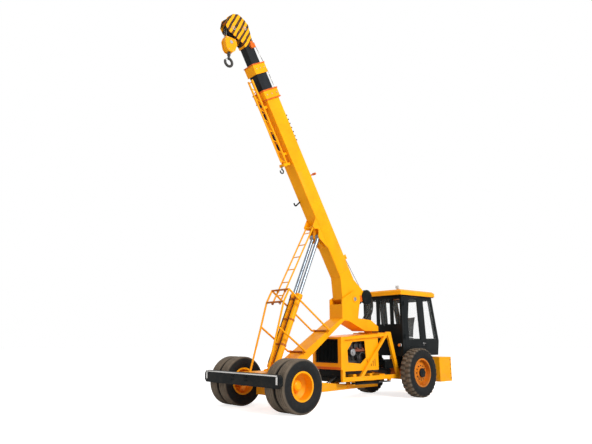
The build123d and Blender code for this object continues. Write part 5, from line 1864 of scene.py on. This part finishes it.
@dataclass
class EngineBay(SubAssembly):
    """What shows of the engine through the side sheet's opening, and the bay's small gear.

    Args:
        cylinders: how many cylinders the engine shows.
        cylinder_pitch: between two of them.
        manifold_out: the manifold's middle, out from the engine's side.
        manifold_z: its height.
        pump_out: how far the pump stands out.
        edge: width of the rubber round the grille.
    """

    cylinders: int = 4
    cylinder_pitch: float = 0.19
    manifold_out: float = 0.095
    manifold_z: float = 1.17
    pump_out: float = 0.11
    edge: float = 0.014

    def head_covers(self, flank: Flank) -> None:
        """The cylinder heads' covers with their injectors, and the rail low on the block.

        Args:
            flank: the engine's side.
        """
        parts = []
        for number in range(self.cylinders):
            back = 0.12 + number * self.cylinder_pitch
            y = flank.start + back
            parts.append(flank.box("head_cover", 0.045, (y, 1.17), (y + 0.13, 1.33), 0.014))
            parts.append(stub_piece("injector", Vector(flank.place(0.03, back + 0.065, 1.32)),
                                    Z_AXIS * 0.08, 0.016, 16, 0.003))
        parts.append(flank.box("rail", 0.035, (flank.start + 0.04, 0.86), (flank.end - 0.06, 0.93),
                               0.008))
        self.mount(parts, f"engine_head_covers_{flank.word}", "engine", Body.REAR, "dark_iron")

    def manifold(self, flank: Flank) -> None:
        """The exhaust manifold and its runners.

        Args:
            flank: the engine's side.
        """
        out, z = self.manifold_out, self.manifold_z
        runs = []
        for number in range(self.cylinders):
            back = 0.18 + number * self.cylinder_pitch
            route = ((0.0, back, 1.22), (0.07, back, 1.23), (out, back + 0.03, 1.19),
                     (out, back + 0.10, z))
            runs.append(tube_piece("runner", [flank.place(*point) for point in route], 0.022))
        length = flank.end - flank.start - 0.22
        runs.append(stub_piece("manifold", Vector(flank.place(out, 0.14, z)), Y_AXIS * length,
                               0.030, 24, 0.006))
        self.mount(runs, f"exhaust_manifold_{flank.word}", "rust", Body.REAR, "dark_iron")

    def pumps(self, flank: Flank) -> None:
        """The injection pump with its cap and bolts, and the starter below it.

        Args:
            flank: the engine's side.
        """
        out = flank.side * X_AXIS
        foot = Vector(flank.place(0.0, 0.40, 1.00))
        front = foot + out * self.pump_out
        pump = [stub_piece("pump", foot, out * self.pump_out, 0.062, 28, 0.008),
                stub_piece("pump_cap", front, out * 0.025, 0.038, 24, 0.006),
                stub_piece("starter", Vector(flank.place(0.055, 0.52, 0.84)), Y_AXIS * 0.28,
                           0.050, 28, 0.008)]
        for place in ring_places(front, 0.05, even_turns(5)):
            pump.append(stub_piece("bolt", place, out * 0.01, 0.008, HEXAGON, 0.001))
        self.mount(pump, f"engine_pumps_{flank.word}", "cast", Body.REAR, "dark_iron")

    def engine_hoses(self, flank: Flank) -> None:
        """Two hoses on the engine's side.

        Args:
            flank: the engine's side.
        """
        routes = (
            (0.014, ((0.12, 0.40, 1.04), (0.13, 0.44, 1.14), (0.12, 0.60, 1.10),
                     (0.10, 0.70, 0.98), (0.09, 0.82, 0.92))),
            (0.018, ((0.06, 0.10, 1.30), (0.10, 0.05, 1.22), (0.10, 0.12, 1.06),
                     (0.06, 0.20, 0.95))),
        )
        hoses = [tube_piece("hose", [flank.place(*point) for point in route], radius)
                 for radius, route in routes]
        self.mount(hoses, f"engine_hoses_{flank.word}", "hose", Body.REAR, "black_plastic")

    def engine_gear(self) -> None:
        """Covers, manifold, pumps and hoses on the engine's two sides."""
        low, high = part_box("engine_block")
        for side, word in SIDES:
            flank = Flank(side, word, side * high.x, low.y, high.y)
            self.head_covers(flank)
            self.manifold(flank)
            self.pumps(flank)
            self.engine_hoses(flank)

    def filter_face(self) -> None:
        """End plate and hub on the round filter."""
        low, high, middle = span("air_cleaner")
        radius = (high.z - low.z) / 2
        foot = Vector((high.x, middle.y, middle.z))
        plate = X_AXIS * 0.012
        parts = [stub_piece("end", foot, plate, radius * 0.86, 40, 0.004),
                 stub_piece("hub", foot + plate, X_AXIS * 0.014, radius * 0.30, 24, 0.004)]
        self.mount(parts, "air_cleaner_end", "steel", Body.REAR, "black_plastic")

    def cover_straps(self) -> None:
        """Two strap hinges on each side of the bay's sloping top cover."""
        low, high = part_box("engine_top")
        slope = 0.0625
        parts = []
        for side in (LEFT, RIGHT):
            inner, outer = side * (high.x - 0.10), side * (high.x - 0.005)
            for y in (low.y + 0.28, low.y + 1.05):
                z = high.z - 0.006 + (y - high.y) * slope
                parts.append(box_piece("strap", (min(inner, outer), y, z),
                                       (max(inner, outer), y + 0.05, z + 0.008), 0.002))
        self.mount(parts, "engine_cover_straps", "black", Body.REAR, "black")

    def nose_trim(self) -> None:
        """A rubber edge round the grille's opening, and an orange band of painted shade along the
        panel's foot, where the nose's underside lies in shadow.
        """
        low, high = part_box("grille")
        panel_low, panel_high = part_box("nose_panel")
        front, back = panel_low.y - 0.006, panel_low.y + 0.004
        x, edge = high.x, self.edge
        parts = [box_piece("edge", (left, front, bottom), (right, back, top), 0.002)
                 for left, right, bottom, top in (
                     (-x - edge, x + edge, low.z - edge, low.z),
                     (-x - edge, x + edge, high.z, high.z + edge),
                     (-x - edge, -x, low.z, high.z), (x, x + edge, low.z, high.z))]
        self.mount(parts, "grille_edge", "black", Body.REAR, "black")
        # Painted shade: an orange strip on the panel's front face stands in for the shaded
        # underside of the nose.
        face, foot = panel_low.y, panel_low.z
        band = box_piece("nose_foot_painted_shade", (panel_low.x + 0.02, face - 0.004, foot + 0.004),
                         (panel_high.x - 0.02, face + 0.006, foot + 0.060), 0.002)
        finish_piece(band, self.finishes.get("orange"), Body.REAR)

    def under_gear(self) -> None:
        """Hoses low ahead of and under the bay."""
        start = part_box("belly_tank")[0].y
        routes = (
            (0.016, ((0.22, 0.05, 0.58), (0.24, -0.16, 0.50), (0.22, -0.30, 0.36),
                     (0.10, -0.36, 0.40), (0.05, -0.30, 0.46))),
            (0.014, ((0.12, 0.05, 0.56), (0.14, -0.12, 0.47), (0.10, -0.24, 0.42),
                     (-0.05, -0.28, 0.44))),
            (0.014, ((0.30, 0.10, 0.50), (0.33, 0.30, 0.45), (0.33, 0.70, 0.44),
                     (0.30, 0.95, 0.48))),
        )
        hoses = [tube_piece("hose", [(x, start + back, z) for x, back, z in route], radius)
                 for radius, route in routes]
        self.mount(hoses, "belly_hoses", "hose", Body.REAR, "black_plastic")

    def build(self) -> None:
        """Makes the engine bay's pieces."""
        self.engine_gear()
        self.filter_face()
        self.cover_straps()
        self.nose_trim()
        self.under_gear()


# Cab -----------------------------------------------------------------------------------
@dataclass
class Cab(SubAssembly):
    """The seat, wiper, handle, lamps, levers and roof lip of the cab.

    Args:
        lamp_x: a front lamp's middle, from the machine's middle.
        lamp_z: its height.
        handle_z: the door handle's height.
        wiper_x: the wiper's spindle, across the machine.
        wiper_z: its height.
        levers: how many control levers.
        lever_x: the first lever's place across the machine.
        lever_pitch: between two levers.
        cushion_half: half the seat cushion's width.
        back_lean: how far the seat's back leans, in degrees.
        lip_drop: how far the roof's lip hangs down.
        lip_width: the lip's width.
    """

    lamp_x: float = 0.56
    lamp_z: float = 1.29
    handle_z: float = 1.335
    wiper_x: float = 0.08
    wiper_z: float = 1.80
    levers: int = 4
    lever_x: float = 0.33
    lever_pitch: float = 0.045
    cushion_half: float = 0.25
    back_lean: float = 13.0
    lip_drop: float = 0.018
    lip_width: float = 0.03

    def lamps(self) -> None:
        """Lenses of the two front lamps, and a rim round each."""
        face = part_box("cab_body")[0].y - 0.044
        lenses, rims = [], []
        for side in (LEFT, RIGHT):
            place = Vector((side * self.lamp_x, face, self.lamp_z))
            lenses.append(stub_piece("lens", place, -Y_AXIS * 0.014, 0.038, 32, 0.006))
            rims.append(rod_piece("rim", place + Y_AXIS * 0.02, place - Y_AXIS * 0.006, 0.046, 32,
                                  0.003))
        self.mount(lenses, "front_lamp_lenses", "amber_lens", Body.REAR, "lamp")
        self.mount(rims, "front_lamp_rims", "plastic", Body.REAR, "black")

    def door_gear(self) -> None:
        """The door's outer handle and lock."""
        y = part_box("cab_door")[1].y - 0.095
        bow = ((0.652, -0.06), (0.684, -0.055), (0.690, 0.0), (0.684, 0.055), (0.652, 0.06))
        parts = [tube_piece("handle", [(x, y + shift, self.handle_z) for x, shift in bow], 0.008),
                 stub_piece("lock", Vector((0.650, y, self.handle_z - 0.045)), X_AXIS * 0.010,
                            0.014, 20)]
        self.mount(parts, "door_handle", "steel", Body.DOOR, "black")

    def wiper(self) -> None:
        """One wiper over the main front pane."""
        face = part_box("cab_body")[0].y
        x, z = self.wiper_x, self.wiper_z
        parts = [stub_piece("spindle", Vector((x, face + 0.004, z)), -Y_AXIS * 0.032, 0.016, 18,
                            0.003),
                 tube_piece("arm", [(x, face - 0.024, z), (0.05, face - 0.026, 1.95),
                                    (0.0, face - 0.012, 2.15)], 0.006),
                 tube_piece("blade", [(0.03, face - 0.008, 1.98), (-0.03, face - 0.008, 2.32)],
                            0.006, taut=True)]
        self.mount(parts, "front_wiper", "plastic", Body.REAR, "black")

    def controls(self) -> None:
        """Levers with round knobs beside the seat."""
        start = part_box("seat")[0].y
        parts = []
        for number in range(self.levers):
            x = self.lever_x + number * self.lever_pitch
            parts.append(tube_piece("lever", [(x, start - 0.02, 1.07), (x, start - 0.03, 1.40),
                                              (x, start - 0.06, 1.62)], 0.007))
            deselect()
            bpy.ops.mesh.primitive_uv_sphere_add(radius=0.020, segments=20, ring_count=12,
                                                 location=(x, start - 0.062, 1.635))
            parts.append(settle(bpy.context.object, "knob"))
        self.mount(parts, "control_levers", "plastic", Body.REAR, "black_plastic")

    def seat(self) -> None:
        """The driver's seat: a moulded stand, and a crowned cushion and back in vinyl."""
        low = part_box("seat")[0]
        under, over = low.z + 0.33, low.z + 0.45
        stand = box_piece("seat_stand", (-0.17, low.y + 0.11, low.z), (0.17, low.y + 0.41, under),
                          0.012)
        finish_piece(stand, self.finishes.get("plastic"), Body.REAR)
        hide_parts("seat")
        cushion = cushion_piece("seat_cushion", (-self.cushion_half, low.y, under),
                                (self.cushion_half, low.y + 0.49, over))
        back = cushion_piece("seat_back", (-0.24, -0.045, 0.0), (0.24, 0.045, 0.56))
        foot = Vector((0.0, low.y + 0.47, over - 0.015))
        lean = Matrix.Rotation(-math.radians(self.back_lean), 4, "X")
        back.data.transform(Matrix.Translation(foot) @ lean)
        for pad in (cushion, back):
            finish_piece(pad, self.finishes.get("vinyl"), Body.REAR)
            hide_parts("seat")

    def roof_trim(self) -> None:
        """A rain lip round the roof's foot, ahead and on both sides."""
        low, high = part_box("cab_roof")
        bottom, inset = low.z - self.lip_drop, 0.02
        left, right, front, back = low.x + inset, high.x - inset, low.y + inset, high.y - inset
        behind = front + self.lip_width
        parts = [box_piece("lip", (x0, y0, bottom), (x1, y1, low.z), 0.003)
                 for x0, x1, y0, y1 in ((left, right, front, behind),
                                        (right - self.lip_width, right, behind, back),
                                        (left, left + self.lip_width, behind, back))]
        self.mount(parts, "roof_lip", "black", Body.REAR, "black")

    def build(self) -> None:
        """Makes the cab's pieces."""
        self.lamps()
        self.door_gear()
        self.wiper()
        self.controls()
        self.seat()
        self.roof_trim()


# Winch and counterweight ---------------------------------------------------------------
@dataclass
class RearGear(SubAssembly):
    """The winch's gear cases, lugs, hoses and rope, and the counterweight's bolts.

    Args:
        case_x: a gear case's inner face, from the machine's middle.
        case_width: its width.
        case_bolts: how many bolts it has.
        hose_radius: a winch hose's radius.
        hose_drop: how far the hoses reach below the drum's middle.
        turns: how many turns of rope lie on the drum.
        turns_half: half the length that they cover.
        turns_radius: radius of their middle line.
        rope_radius: the rope's radius.
        bolt_inset: the end bolts' place inside the counterweight's edges.
        bolt_margin: the rear bolts' place inside its ends.
    """

    case_x: float = 0.168
    case_width: float = 0.035
    case_bolts: int = 8
    hose_radius: float = 0.014
    hose_drop: float = 0.68
    turns: int = 15
    turns_half: float = 0.115
    turns_radius: float = 0.128
    rope_radius: float = 0.0078
    bolt_inset: float = 0.08
    bolt_margin: float = 0.12

    def gear_cases(self) -> None:
        """The winch's motor and gear case on the boom's heel."""
        low, high, middle = span("winch_drum")
        parts = []
        for side in (LEFT, RIGHT):
            out = side * X_AXIS
            foot = Vector((side * self.case_x, middle.y, middle.z))
            parts.append(stub_piece("case", foot, out * self.case_width, (high.z - low.z) / 2, 40,
                                    0.006))
            for place in ring_places(foot + out * 0.033, 0.086, even_turns(self.case_bolts)):
                parts.append(stub_piece("bolt", place, out * 0.010, 0.008, HEXAGON, 0.001))
        self.mount(parts, "winch_gear_cases", "black", Body.BOOM, "black")

    def heel_lugs(self) -> None:
        """The round lug on each side of the heel, ahead of the winch, coloured orange as painted
        shade for the heel's shaded rear edge.
        """
        parts = []
        for side in (LEFT, RIGHT):
            out = side * X_AXIS
            foot = on_boom(side * 0.150, 0.265, -0.120)
            parts.append(stub_piece("lug", foot, out * 0.022, 0.085, 40, 0.005))
            parts.append(stub_piece("boss", foot, out * 0.034, 0.034, 24, 0.004))
        # Painted shade: the lugs' orange stands in for the shadow on the heel's rear edge.
        self.mount(parts, "winch_heel_lugs", "orange", Body.BOOM, "orange")

    def winch_hoses(self) -> None:
        """Hoses that loop from the winch's motor down to the gooseneck's rear leg."""
        drum = span("winch_drum")[2]
        hoses = []
        for x, reach, drop in ((0.130, 0.00, 0.02), (0.070, 0.05, -0.03), (0.010, -0.04, 0.05),
                               (-0.060, 0.03, 0.00), (-0.120, -0.02, 0.03)):
            bends = ((x, 0.02, 0.06), (x, 0.15, 0.08 + drop), (x, 0.30 + reach, -0.10 + drop),
                     (x * 0.8, 0.31 + reach, -0.34), (x * 0.8, 0.20 + reach, -0.50),
                     (x * 0.7, 0.06, -0.62), (x * 0.7, 0.0, -self.hose_drop))
            route = [(across, drum.y + back, drum.z + above) for across, back, above in bends]
            hoses.append(tube_piece("hose", route, self.hose_radius))
        stretch_piece(join_pieces(hoses, "winch_hoses"), self.finishes.get("hose"),
                      Body.BOOM, Body.FRONT)

    def rope_on_drum(self) -> None:
        """Turns of rope on the winch drum."""
        drum = span("winch_drum")[2]
        pitch = 2 * self.turns_half / (self.turns - 1)
        rings = []
        for number in range(self.turns):
            deselect()
            bpy.ops.mesh.primitive_torus_add(
                major_radius=self.turns_radius, minor_radius=self.rope_radius, major_segments=40,
                minor_segments=8, location=(-self.turns_half + pitch * number, drum.y, drum.z),
                rotation=(0.0, math.pi / 2, 0.0))
            rings.append(settle(bpy.context.object, "turn"))
        self.mount(rings, "rope_on_drum", "rope", Body.WINCH, "rope")

    def weight_bolts(self) -> None:
        """Bolts down the counterweight's ends and across its rear."""
        low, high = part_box("counterweight")
        rows, columns = 5, 6
        rise = (high.z - low.z - 2 * self.bolt_inset) / (rows - 1)
        step = (high.x - low.x - 2 * self.bolt_margin) / (columns - 1)
        feet = [(Vector((side * high.x, high.y - 0.06, low.z + self.bolt_inset + number * rise)),
                 side * X_AXIS) for side in (LEFT, RIGHT) for number in range(rows)]
        feet += [(Vector((low.x + self.bolt_margin + number * step, high.y,
                          high.z - self.bolt_inset)), Y_AXIS) for number in range(columns)]
        parts = [stub_piece("bolt", foot, out * 0.012, 0.014, HEXAGON) for foot, out in feet]
        self.mount(parts, "counterweight_bolts", "black", Body.REAR, "yellow")

    def build(self) -> None:
        """Makes the winch's and the counterweight's pieces."""
        self.gear_cases()
        self.heel_lugs()
        self.winch_hoses()
        self.rope_on_drum()
        self.weight_bolts()


def main() -> None:
    """Builds the studio, dresses the solids, and adds each sub-assembly's gear in order."""
    logging.basicConfig(level=logging.INFO, format="%(name)s: %(message)s")
    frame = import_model()
    bpy.context.scene.view_settings.view_transform = "Standard"
    Studio().build()
    finishes = Finishes()
    dress_nodes(frame["nodes"], finishes)
    for maker in (Wheels, Boom, HeadAndHook, LoadGuard, LiftCylinders, FrontFrame, EngineBay, Cab,
                  RearGear):
        maker(finishes=finishes).build()


if __name__ == "__main__":
    main()
